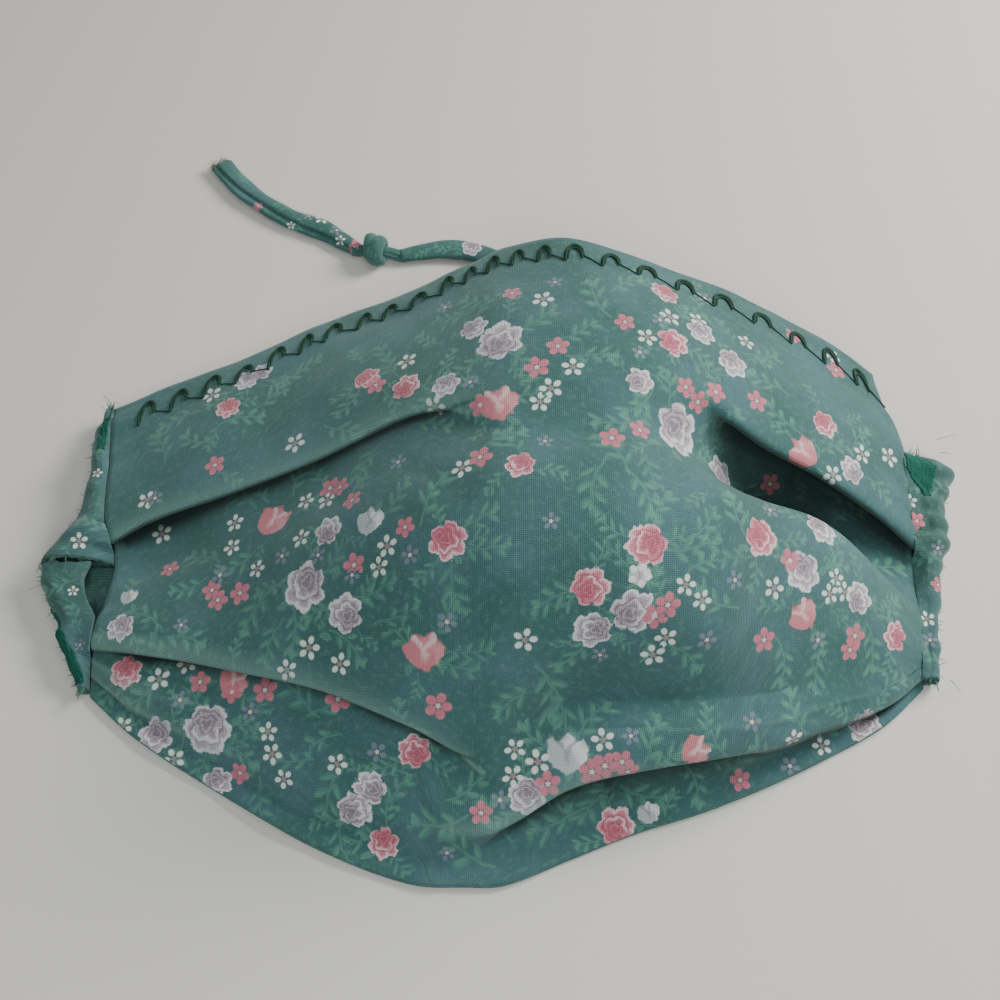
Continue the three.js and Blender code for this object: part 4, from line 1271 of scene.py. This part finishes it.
# %% [markdown]
# Effects that several cloths share are node groups with named inputs and outputs: the weave, each
# kind of motif, the twist of a thread. A group is built once and placed in each material with its
# own values.

# %% Make and place node groups
SOCKETS = {"number": "NodeSocketFloat", "vector": "NodeSocketVector", "colour": "NodeSocketColor"}


def new_group(name, inputs, outputs):
    """A node group with named sockets: its tree, its inputs as wires and a function for its outputs."""
    tree = bpy.data.node_groups.new(name, "ShaderNodeTree")
    for label, kind, value in inputs:
        socket = tree.interface.new_socket(label, in_out="INPUT", socket_type=SOCKETS[kind])
        if value is not None:
            socket.default_value = value
    for label, kind in outputs:
        tree.interface.new_socket(label, in_out="OUTPUT", socket_type=SOCKETS[kind])
    source = tree.nodes.new("NodeGroupInput")
    drain = tree.nodes.new("NodeGroupOutput")
    wires = [Wire(tree, out) for out in source.outputs[:len(inputs)]]
    return tree, wires, lambda *values: [plug(tree, slot, v) for slot, v in zip(drain.inputs, values)]


def use_group(tree, group, **values):
    """Places a group in a tree, with its inputs given by name, and returns its outputs by name."""
    node = tree.nodes.new("ShaderNodeGroup")
    node.node_tree = group
    for label, value in values.items():
        plug(tree, node.inputs[label.replace("_", " ")], value)
    return {out.name: Wire(tree, out) for out in node.outputs}


# %% [markdown]
# The weave is a plain one: warp and weft pass over each other in turn. An image of cloth would need
# a file and would blur close up. Two sine waves give the threads, a checker of whole numbers says
# which one is on top, and a noise makes some threads thicker than others, as in real yarn. Its
# height feeds the bump, and its tone makes the threads that lie lower a little darker.

# %% The weave group
weave, (place, pitch, uneven), weave_out = new_group(
    "plain_weave", [("Place", "vector", None), ("Pitch", "number", 0.4), ("Uneven", "number", 0.3)],
    [("Height", "number"), ("Tone", "number")])
pi = math.pi
x, y, _ = split(weave, place)
slub = noise(weave, place, 1.1, 2.0)
x, y = x / pitch + slub * uneven, y / pitch + noise(weave, place, 0.8, 2.0) * uneven
warp = (x * pi).math("SINE").math("ABSOLUTE") * ((y * pi + x.math("FLOOR") * pi).math("SINE") * 0.5 + 0.5)
weft = (y * pi).math("SINE").math("ABSOLUTE") * (0.5 - (x * pi + y.math("FLOOR") * pi).math("SINE") * 0.5)
height_of_weave = warp.math("MAXIMUM", weft)
fuzz = noise(weave, place, 7.0, 3.0, 0.7)
weave_out(height_of_weave + (fuzz - 0.5) * 0.5, height_of_weave * 0.5 + fuzz * 0.5)
print("weave nodes:", len(weave.nodes))

# %% [markdown]
# Each motif group reads a place inside the motif: p and q run from -1 to 1, and the third number is
# the kind plus a chance of its own. A negative number means that there is no motif here. The small
# flowers have five petals, made by folding the angle round the centre into one fifth of a turn.

# %% The small flowers


def motif_group(name, second, kind_of_second):
    """A motif's group: tree, outputs, place, p, q, the third number, and 1 where a motif is stored."""
    tree, (place,), give = new_group(
        name, [("Place", "vector", (0.0, 0.0, -1.0))], [("Mask", "number"), (second, kind_of_second)])
    p, q, code = split(tree, place)
    return tree, give, place, p, q, code, code.soft(-0.6, -0.4)


small_group, small_out, _, p, q, code, there = motif_group("small_flower", "Colour", "colour")
r = (p * p + q * q).math("SQRT")
angle = q.math("ARCTAN2", p)
kind = code.math("FLOOR")
sector = (angle * (2.5 / pi) + 0.5).math("FRACT") - 0.5
petal_angle = sector * (2 * pi / 5)
petal_x, petal_y = r * petal_angle.math("COSINE"), r * petal_angle.math("SINE")
pinkish = kind.math("COMPARE", 1.0, 0.3)
lilac = kind.math("COMPARE", 2.0, 0.3)
half_wide = pinkish * 0.10 + 0.23
half_long = pinkish * 0.08 + 0.29
petal = ((petal_x - 0.62) / half_long).math("POWER", 2.0) + (petal_y / half_wide).math("POWER", 2.0)
filament = (petal_y / 0.06).math("POWER", 2.0) + ((petal_x - 0.25) / 0.3).math("POWER", 2.0)
petals = petal.soft(1.6, 0.55).math("MAXIMUM", filament.soft(1.4, 0.4) * 0.6)
heart = (r + (angle * 5).math("SINE") * 0.04).soft(0.26, 0.12) * ((pinkish + lilac) * 0.5 + 0.5)
petal_colour = blend(small_group, pinkish, tint(238, 244, 234), tint(218, 126, 142))
petal_colour = blend(small_group, lilac, petal_colour, tint(146, 148, 170))
petal_colour = blend(small_group, petal_x.soft(0.42, 0.25) * 0.6, petal_colour, tint(190, 128, 136))
pale_tips = petal_x.soft(0.75, 0.95) * pinkish * 0.5
petal_colour = blend(small_group, pale_tips, petal_colour, tint(232, 168, 176))
is_coloured = (pinkish + lilac).math("MINIMUM", 1.0)
heart_colour = blend(small_group, is_coloured, tint(196, 132, 130), tint(246, 220, 218))
flower_mask = (petals * (1 - lilac * 0.35)).math("MAXIMUM", heart)
small_out(flower_mask * there, blend(small_group, heart, petal_colour, heart_colour))
print("small flower nodes:", len(small_group.nodes))

# %% [markdown]
# A printed rose is a few rings of petals, each ring smaller and turned against the last, with light
# rims and dark gaps. A helper measures how far a place is from the nearest petal of a ring, and a
# noise bends the whole so that no two roses are alike.

# %% Rings of petals
FULL_TURN = 6.28
big_group, big_out, place, p, q, code, there = motif_group("big_flower", "Colour", "colour")
kind, chance = code.math("FLOOR"), code.math("FRACT")
turn = chance * FULL_TURN
wobble = noise(big_group, place, 2.6, 3.0) - 0.5
p = p + wobble * 0.45
q = q + (noise(big_group, place, 3.7, 3.0) - 0.5) * 0.45


def petal_ring(centre_p, centre_q, count, first, middle, long, wide):
    """Petals round a centre: a number that is 0 in the middle of the nearest petal and 1 at its rim."""
    x, y = p - centre_p, q - centre_q
    away = (x * x + y * y).math("SQRT")
    sector = ((y.math("ARCTAN2", x) + first) * (count / (2 * pi)) + 0.5).math("FRACT") - 0.5
    way = sector * (2 * pi / count)
    return (((away * way.math("COSINE") - middle) / long).math("POWER", 2.0)
            + (away * way.math("SINE") / wide).math("POWER", 2.0))


outer = petal_ring(0.0, 0.0, 6, turn, 0.56, 0.42, 0.38)
middle = petal_ring(0.03, 0.10, 4, turn * 1.7, 0.32, 0.32, 0.33)
core = petal_ring(0.07, 0.20, 3, turn * 2.3, 0.12, 0.19, 0.20)
print("rose petals: 6 outside, 4 between and 3 in the heart")

# %% [markdown]
# The rings are laid over each other from the outside in. Each has its own tone, darkest where the
# next ring begins, and one side of the flower is paler than the other, as if light fell on it.

# %% Paint the rose
rose_mask = outer.soft(1.22, 0.82).math("MAXIMUM", middle.soft(1.2, 0.85))
middle_mask, core_mask = middle.soft(1.15, 0.80), core.soft(1.25, 0.65)
grain = (noise(big_group, place, 8.0, 3.0) - 0.5) * 0.6
angle_of_light = p * -0.9 - q * 1.1
lit = (angle_of_light + 0.5).soft(0.1, 0.9)
outer_tone = (outer.soft(0.0, 0.8) * 0.70 + 0.34) * (1 - middle.soft(2.1, 1.0) * 0.8)
middle_tone = (middle.soft(0.0, 0.75) * (lit * 0.7 + 0.35) + 0.22) * (1 - core.soft(2.8, 1.0) * 0.8)
tone = outer_tone + (middle_tone - outer_tone) * middle_mask
tone = tone + (core.soft(0.1, 0.9) * 0.55 + 0.08 - tone) * core_mask
tone = tone + grain + angle_of_light * 0.16
print("rose nodes so far:", len(big_group.nodes))

# %% [markdown]
# Tulips and white buds are cups with a toothed upper edge and a fold like a V. They share the group
# with the roses, because a place on the cloth holds one big flower at most, and the kind picks which.

# %% Paint the cups and finish the group
wide = (p / ((1.0 - (q * q) * 0.35) * 0.88)).math("ABSOLUTE")
crown_line = (p * 8 + turn).math("SINE") * 0.12 + 0.66 - p * p * 0.45
foot_line = q + 0.88 - p * p * 0.9
cup = wide.soft(1.08, 0.90) * (q - crown_line).soft(0.08, -0.08) * foot_line.soft(-0.06, 0.07)
vee = (p.math("ABSOLUTE") - q.math("MAXIMUM", 0.0) * 0.8).math("ABSOLUTE") + wobble * 0.2
fold_line = vee.soft(0.24, 0.02) * q.soft(-0.7, -0.1)
side_light = ((p * 2.6 + q + (q * 5).math("SINE") * 0.4).math("SINE") + grain).soft(0.1, 1.0)
white_cup = blend(big_group, side_light, tint(200, 205, 206), tint(247, 249, 247))
grey_line = vee.soft(0.16, 0.02) * q.soft(-0.8, -0.2) * 0.6
white_cup = blend(big_group, grey_line, white_cup, tint(146, 146, 156))
pink_cup = blend(big_group, side_light * 0.55, tint(222, 134, 142), tint(240, 176, 178))
pink_cup = blend(big_group, (q + p * 0.3 + grain).soft(0.2, 0.75) * 0.6, pink_cup, tint(198, 104, 120))
pink_cup = blend(big_group, fold_line * 0.8, pink_cup, tint(246, 218, 216))
is_pink = kind.math("COMPARE", 1.0, 0.3)
is_cup = kind.soft(1.4, 1.6)
is_pink_cup = kind.soft(2.4, 2.6)
tone = tone - is_pink * 0.10
deep = blend(big_group, is_pink, tint(148, 130, 142), tint(194, 100, 118))
mid = blend(big_group, is_pink, tint(198, 184, 192), tint(226, 142, 156))
light = blend(big_group, is_pink, tint(240, 238, 240), tint(250, 216, 218))
colour = blend(big_group, tone.soft(0.55, 1.05), blend(big_group, tone.soft(0.0, 0.5), deep, mid), light)
colour = blend(big_group, is_cup, colour, blend(big_group, is_pink_cup, white_cup, pink_cup))
big_out((rose_mask + (cup - rose_mask) * is_cup) * there, colour)
print("big flower nodes:", len(big_group.nodes))

# %% [markdown]
# A sprig is a bent stem with pairs of narrow leaves in rows, and the fraction of q inside a row draws
# each leaf. The broad kind is one oval leaf with a vein. Both are pale green and half covered by the
# ground, as thin ink is.

# %% The leaf sprigs
leaf_group, leaf_out, place, p, q, code, there = motif_group("leaf_sprig", "Light", "number")
chance = code.math("FRACT")
is_broad = code.soft(0.95, 1.0)
bent = p - ((q * 2.2 + chance * 6).math("SINE")) * 0.16
across = bent.math("ABSOLUTE")
handed = bent.math("SIGN") * 0.11
row = (q - across * 0.75 + handed + 0.95) / 0.46
in_row = (row.math("FRACT") - 0.5) * 0.46
number = row.math("FLOOR")
long = ((number * 12.99 + chance * 9).math("SINE") * 43.7).math("FRACT") * 0.16 + 0.26
speckle = noise(leaf_group, place, 4.0, 2.0)
leaf = ((across - long * 0.58) / (long * 0.55)).math("POWER", 2.0) + (in_row / 0.14).math("POWER", 2.0)
leaf = leaf + speckle * 0.9
inside = q.math("ABSOLUTE").soft(0.98, 0.88) * number.soft(0.4, 0.6) * number.soft(3.9, 3.6)
blades = leaf.soft(1.8, 0.5) * inside
stem = across.soft(0.06, 0.03) * q.math("ABSOLUTE").soft(0.82, 0.76)
tip = (bent / 0.12).math("POWER", 2.0) + ((q - 0.82) / 0.18).math("POWER", 2.0)
blades = blades.math("MAXIMUM", tip.soft(1.1, 0.7))
slim = 0.42 * (1 - ((q - 0.15) * (q - 0.15)) * 0.9)
broad = ((p + q * q * 0.2) / slim).math("ABSOLUTE").soft(1.1, 0.75) * q.math("ABSOLUTE").soft(1.0, 0.75)
vein = p.math("ABSOLUTE").soft(0.07, 0.01)
blades = blades.math("MAXIMUM", stem * 0.7)
mask = blades + (broad * (1 - vein * 0.3) * 0.9 - blades) * is_broad
leaf_out(mask * there, in_row.soft(-0.06, 0.05) * 0.6 + chance * 0.4)
print("leaf sprig nodes:", len(leaf_group.nodes))

# %% [markdown]
# The print puts the layers over the ground in the order of the printer's screens: ground, leaves,
# big flowers and small flowers. The ground itself has a soft mottle, since cheap cotton takes the
# dye unevenly, and tiny pale specks of leaf.

# %% The print group
print_group, (place, big, small, one, two, ground, leaf_colour), print_out = new_group(
    "ditsy_print",
    [("Place", "vector", None), ("Big", "vector", None), ("Small", "vector", None),
     ("Leaves One", "vector", None), ("Leaves Two", "vector", None), ("Ground", "colour", tint(52, 98, 90)),
     ("Leaf", "colour", tint(92, 150, 128))], [("Colour", "colour"), ("Print", "number")])
mottle = noise(print_group, place, 0.045, 3.0)
colour = blend(print_group, mottle.soft(0.35, 0.7) * 0.7, ground, tint(86, 122, 130))
green_patches = noise(print_group, place, 0.22, 4.0, 0.6).soft(0.45, 0.65)
colour = blend(print_group, green_patches * 0.35, colour, tint(66, 108, 96))
pale_specks = noise(print_group, place, 0.75, 3.0).soft(0.48, 0.7)
colour = blend(print_group, pale_specks * 0.34, colour, tint(104, 148, 134))
leaf_mask = None
for layer in (one, two):
    sprig = use_group(print_group, leaf_group, Place=layer)
    shade = blend(print_group, sprig["Light"], tint(84, 136, 122), leaf_colour)
    colour = blend(print_group, sprig["Mask"] * 0.74, colour, shade)
    leaf_mask = sprig["Mask"] if leaf_mask is None else leaf_mask.math("MAXIMUM", sprig["Mask"])
flower = use_group(print_group, big_group, Place=big)
colour = blend(print_group, flower["Mask"] * 0.92, colour, flower["Colour"])
petal = use_group(print_group, small_group, Place=small)
colour = blend(print_group, petal["Mask"] * 0.95, colour, petal["Colour"])
print_out(colour, flower["Mask"].math("MAXIMUM", petal["Mask"]).math("MAXIMUM", leaf_mask))
print("print nodes:", len(print_group.nodes))

# %% [markdown]
# Dry cotton is matt and has a faint sheen from its loose fibres. The Principled BSDF has a value for
# each of these, so one function starts every material with it, with the map in millimetres and, on
# request, a bump.

# %% Start a material


def new_material(name, roughness, sheen, sheen_tint=(1, 1, 1, 1), specular=0.3):
    """A material with a Principled BSDF whose constant values are set here."""
    material = bpy.data.materials.new(name)
    material.use_nodes = True
    tree = material.node_tree
    shader = tree.nodes["Principled BSDF"]
    shader.inputs["Roughness"].default_value = roughness
    shader.inputs["Sheen Weight"].default_value = sheen
    shader.inputs["Sheen Roughness"].default_value = 0.45
    shader.inputs["Sheen Tint"].default_value = sheen_tint
    shader.inputs["Specular IOR Level"].default_value = specular
    uv = tree.nodes.new("ShaderNodeUVMap")
    uv.uv_map = "cloth"
    return material, tree, shader, Wire(tree, uv.outputs[0])


def add_bump(tree, shader, height, strength, distance):
    """Lets a height, in shares of a distance in millimetres, tilt the surface."""
    bump = tree.nodes.new("ShaderNodeBump")
    bump.inputs["Strength"].default_value = strength
    bump.inputs["Distance"].default_value = distance * MM
    plug(tree, bump.inputs["Height"], height)
    tree.links.new(bump.outputs[0], shader.inputs["Normal"])


def attribute(tree, name):
    """Values that were stored on the mesh."""
    node = tree.nodes.new("ShaderNodeAttribute")
    node.attribute_type = "GEOMETRY"
    node.attribute_name = name
    return Wire(tree, node.outputs["Vector"])


# %% [markdown]
# Printed cotton takes its colour from the print group and its threads from the weave group. Wear
# makes it paler in patches. On the panel a painted highlight makes the folds' edges paler, and painted
# shade makes the cloth deep in the pleats darker. Darkening the gaps between the threads gives the
# fine grain that the photograph shows.

# %% Printed cotton
DRY = 0.92


def print_material(name, ground, leaf, pitch, wear, shaded=False):
    """Printed cotton with its own ground colour, thread pitch and wear."""
    material, tree, shader, place = new_material(name, 0.86, 0.35, tint(190, 215, 205), 0.22)
    motifs = {label: attribute(tree, stored) for label, stored in LAYERS.items()}
    pattern = use_group(tree, print_group, Place=place, Ground=ground, Leaf=leaf, **motifs)
    threads = use_group(tree, weave, Place=place, Pitch=pitch, Uneven=0.35)
    worn = noise(tree, place, 0.25, 4.0).soft(0.52, 0.8) * wear
    colour = blend(tree, worn, pattern["Colour"], tint(120, 158, 146))
    if shaded:
        # painted highlight: the fold edges are made paler
        edge = split(tree, attribute(tree, "highlit"))[0].soft(0.25, 0.9)
        colour = blend(tree, edge * 0.36, colour, tint(150, 188, 174))
        # painted shade: cloth deep in the pleats, where other cloth hides the sky, is made darker
        inside = split(tree, attribute(tree, "pleat_shade"))[0].soft(0.34, 0.74)
        painted_shade_colour = blend(tree, 1.0, colour, tint(86, 90, 78), "MULTIPLY")
        colour = blend(tree, inside * 0.9, colour, painted_shade_colour)
    dark = blend(tree, 1.0, colour, tint(186, 192, 194), "MULTIPLY")
    plug(tree, shader.inputs["Base Color"], blend(tree, threads["Tone"].soft(0.2, 0.7), dark, colour))
    plug(tree, shader.inputs["Roughness"], threads["Tone"] * -0.12 + DRY)
    add_bump(tree, shader, threads["Height"], 0.75, 0.10)
    return material


printed_cotton = print_material("printed_cotton", tint(66, 107, 104), tint(109, 165, 143), 0.38, 0.10, True)
casing_cotton = print_material("casing_cotton", tint(61, 98, 90), tint(105, 159, 135), 0.38, 0.22)
tie_cotton = print_material("tie_cotton", tint(62, 108, 98), tint(104, 164, 142), 0.36, 0.20)
print("printed cloths:", [m.name for m in (printed_cotton, casing_cotton, tie_cotton)])

# %% [markdown]
# The lining has one yarn colour. Inside the panel it is a plain weave, and where it shows at the
# casings it is a loopy cloth, so a noise takes the place of the even threads there.

# %% Plain lining cloth


def plain_material(name, colour, deep, pitch, rough, bump):
    """Plain cloth: one yarn colour, darker between the threads, with loops where it is rough."""
    material, tree, shader, place = new_material(name, 0.9, 0.4, colour, 0.2)
    threads = use_group(tree, weave, Place=place, Pitch=pitch, Uneven=rough)
    loops = noise(tree, place, 1.6, 4.0, 0.65)
    tone = threads["Tone"] * (1 - rough * 0.5) + loops * rough * 0.5
    uneven_dye = noise(tree, place, 0.08, 2.0)
    lit = blend(tree, uneven_dye.soft(0.4, 0.7) * 0.3, colour, deep)
    plug(tree, shader.inputs["Base Color"], blend(tree, tone.soft(0.2, 0.65), deep, lit))
    plug(tree, shader.inputs["Roughness"], tone * -0.1 + 0.95)
    add_bump(tree, shader, threads["Height"] * (1 - rough) + loops * rough * 1.6, 0.9, bump)
    return material


lining_cotton = plain_material("lining_cotton", tint(40, 130, 98), tint(14, 74, 56), 0.45, 0.25, 0.12)
loopy_lining = plain_material("loopy_lining", tint(34, 100, 84), tint(10, 58, 48), 0.6, 0.9, 0.35)
print("lining cloths:", [m.name for m in (lining_cotton, loopy_lining)])

# %% [markdown]
# Yarn is twisted, which shows as slanting bands along a thread. The bands are a sine wave across the
# object's own position, and a fine noise stands for hairs. One group serves the dark stitches and
# both kinds of fray.

# %% Twisted thread
twist, (place, lay_of_yarn), twist_out = new_group(
    "thread_twist", [("Place", "vector", None), ("Lay", "number", 3.0)],
    [("Height", "number"), ("Tone", "number")])
x, y, z = split(twist, place)
strand = ((x + y + z * 0.6) * lay_of_yarn * FULL_TURN).math("SINE") * 0.5 + 0.5
hairs = noise(twist, place, 9.0, 2.0)
twist_out(strand * 0.8 + hairs * 0.4, strand * 0.6 + hairs * 0.4)


def thread_material(name, colour, deep, lay_of_yarn):
    """Twisted yarn, coloured by its place on the object in millimetres."""
    material, tree, shader, _ = new_material(name, 0.75, 0.3, colour, 0.35)
    where = tree.nodes.new("ShaderNodeTexCoord")
    scale = tree.nodes.new("ShaderNodeVectorMath")
    scale.operation = "SCALE"
    scale.inputs["Scale"].default_value = 1 / MM
    tree.links.new(where.outputs["Object"], scale.inputs[0])
    yarn = use_group(tree, twist, Place=Wire(tree, scale.outputs[0]), Lay=lay_of_yarn)
    plug(tree, shader.inputs["Base Color"], blend(tree, yarn["Tone"], deep, colour))
    plug(tree, shader.inputs["Roughness"], yarn["Tone"] * -0.15 + 0.85)
    add_bump(tree, shader, yarn["Height"], 0.6, 0.06)
    return material


stitch_thread = thread_material("stitch_thread", tint(32, 74, 56), tint(12, 36, 26), 1.4)
green_fray = thread_material("green_fray", tint(96, 140, 120), tint(48, 92, 76), 2.0)
tan_fray = thread_material("tan_fray", tint(150, 138, 104), tint(86, 92, 66), 2.0)
print("threads:", [m.name for m in (stitch_thread, green_fray, tan_fray)])

# %% [markdown]
# Each piece gets one material. A table says which, so that a change of cloth is a change of one
# word.

# %% Put the materials on
MATERIALS = (
    (printed_cotton, (printed_cloth,)), (lining_cotton, (lining_cloth,)),
    (casing_cotton, (upper_casing, lower_casing, right_casing)),
    (loopy_lining, (top_lining, edge_lining, patch_lining)),
    (tie_cotton, (tie_strand, tie_tail, tie_knot)),
    (stitch_thread, (arch_stitches,)), (green_fray, (casing_fray,)), (tan_fray, (tail_fray,)))
for material, pieces in MATERIALS:
    for piece in pieces:
        piece.data.materials.append(material)
print("materials in use:", len(MATERIALS))

# %% [markdown]
# The tie carries the same print. Its motifs are listed one by one along the strip, because only a
# few of them show on so narrow a cloth.

# %% Print the tie


def tie_motifs(piece, charts):
    """Motifs on a swept strip, at the pixels where they show."""
    points = np.empty(len(piece.data.vertices) * 3, np.float32)
    piece.data.vertices.foreach_get("co", points)
    points = points.reshape(-1, 3).astype(float) / MM
    faces = np.array([f for f in sweep_faces(len(points) // TIE_SIDES, TIE_SIDES) if len(f) == 4])
    u = (np.arange(len(points)) // TIE_SIDES) * TIE_STEP
    print_piece(piece, faces, points, u, u * 0, charts)


tie_motifs(tie_strand, (
    ("big_flowers", 0, ((472, 247, 2.6, 20),)), ("small_flowers", 0, ((494, 246, 2.0, 10),)),
    ("small_flowers", 2, ((484, 243, 1.8),)),
    ("leaves_one", 0, ((446, 248, 3.4, 80), (425, 252, 3.0, 110))),
    ("leaves_two", 0, ((458, 245, 3.0, 200),))))
tie_motifs(tie_tail, (
    ("small_flowers", 0, ((322, 219, 2.0, 12), (340, 240, 1.5), (291, 225, 1.3))),
    ("small_flowers", 2, ((337, 230, 2.0), (309, 216, 1.7))),
    ("small_flowers", 1, ((258, 206, 1.3), (354, 247, 1.6))),
    ("leaves_one", 0, ((285, 208, 3.4, 60), (246, 180, 3.0, 40))),
    ("leaves_two", 0, ((300, 222, 3.0, 150),))))
tie_motifs(tie_knot, (("leaves_one", 0, ((374, 254, 2.6, 30),)),))
print("layers on the tie:", [a.name for a in tie_strand.data.attributes if a.data_type == "FLOAT_VECTOR"])

# %% [markdown]
# A plain pale floor lets the cloth show by itself. It is one large square, a fifth of a millimetre
# below the mask so that the two never flicker into each other.

# %% Lay the floor
FLOOR_REACH = 5.0
FLOOR_DROP = 0.2
corners = [(x * FLOOR_REACH, y * FLOOR_REACH, 0) for x, y in ((-1, -1), (1, -1), (1, 1), (-1, 1))]
floor_mesh = bpy.data.meshes.new("floor")
floor_mesh.from_pydata(corners, [], [(0, 1, 2, 3)])
floor = bpy.data.objects.new("floor", floor_mesh)
bpy.context.collection.objects.link(floor)
floor.location.z = -FLOOR_DROP * MM
floor_paint = bpy.data.materials.new("floor_paint")
floor_paint.use_nodes = True
floor_shader = floor_paint.node_tree.nodes["Principled BSDF"]
floor_shader.inputs["Base Color"].default_value = tint(214, 210, 204)
floor_shader.inputs["Roughness"].default_value = 0.7
floor_mesh.materials.append(floor_paint)
print("floor: %.0f m square" % (2 * FLOOR_REACH))

# %% [markdown]
# Soft light makes cloth look soft. The key light is a window behind the mask on the right, so the
# folds' edges catch it and the left falls off into shade. A lamp in front and one above keep the
# pleats readable, and a low pale world fills in.

# %% Set up the lamps
WORLD_LIGHT = 0.17


def lamp(name, place, aim, size, power, colour):
    """A square soft lamp that looks at a point; lengths in metres."""
    data = bpy.data.lights.new(name, "AREA")
    data.size, data.energy, data.color = size, power, colour
    light = bpy.data.objects.new(name, data)
    light.location = place
    light.rotation_euler = (Vector(aim) - Vector(place)).to_track_quat("-Z", "Y").to_euler()
    bpy.context.collection.objects.link(light)


lamp("window", (0.50, 0.32, 0.38), (0.02, 0.0, 0.01), 0.28, 6.2, (1.0, 0.98, 0.95))
lamp("front_fill", (0.02, -0.40, 0.52), (0, 0, 0.02), 0.30, 2.2, (0.94, 0.98, 1.0))
lamp("top", (0.12, 0.05, 0.7), (0, 0, 0), 0.35, 0.7, (0.97, 1.0, 1.0))
world = bpy.data.worlds.new("studio")
world.use_nodes = True
world.node_tree.nodes["Background"].inputs[0].default_value = (0.80, 0.86, 0.90, 1)
world.node_tree.nodes["Background"].inputs[1].default_value = WORLD_LIGHT
bpy.context.scene.world = world
print("lamps:", [light.name for light in bpy.data.lights])

# %% [markdown]
# Each visible piece rides on the mask's one body and takes the place of its solid, which is hidden.

# %% Attach the pieces and hide their solids
PIECES = (
    (printed_cloth, "printed_cotton", ("mask_panel",)), (lining_cloth, "lining_cotton", ()),
    (upper_casing, "casing_cotton", ("left_band_upper",)),
    (lower_casing, "casing_cotton", ("left_band_lower",)),
    (right_casing, "casing_cotton", ("right_band",)), (top_lining, "lining_cotton", ("left_lining_top",)),
    (edge_lining, "lining_cotton", ("left_lining_edge",)),
    (patch_lining, "lining_cotton", ("right_lining_patch",)),
    (tie_strand, "tie_cotton", ("tie_strand",)), (tie_tail, "tie_cotton", ("tie_tail",)),
    (tie_knot, "tie_cotton", ("tie_knot",)), (arch_stitches, "printed_cotton", ()),
    (casing_fray, "casing_cotton", ()), (tail_fray, "tie_cotton", ()))
for piece, slot_name, solids in PIECES:
    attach(piece, "root")
    if solids:
        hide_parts(*solids)
print("pieces handed over:", len(PIECES))

# %% [markdown]
# The panel's cloth is as wide as the hem is long, and its length from hem to hem is printed at every
# few stations.

print("sheet lengths from left to right:", [round(float(cloth_v[k, -1])) for k in range(0, STATIONS, 17)])
tuple(strand_path[0] * MM)
(strand_path * MM).tolist()
tuple(tail_path[0] * MM)
(tail_path * MM).tolist()
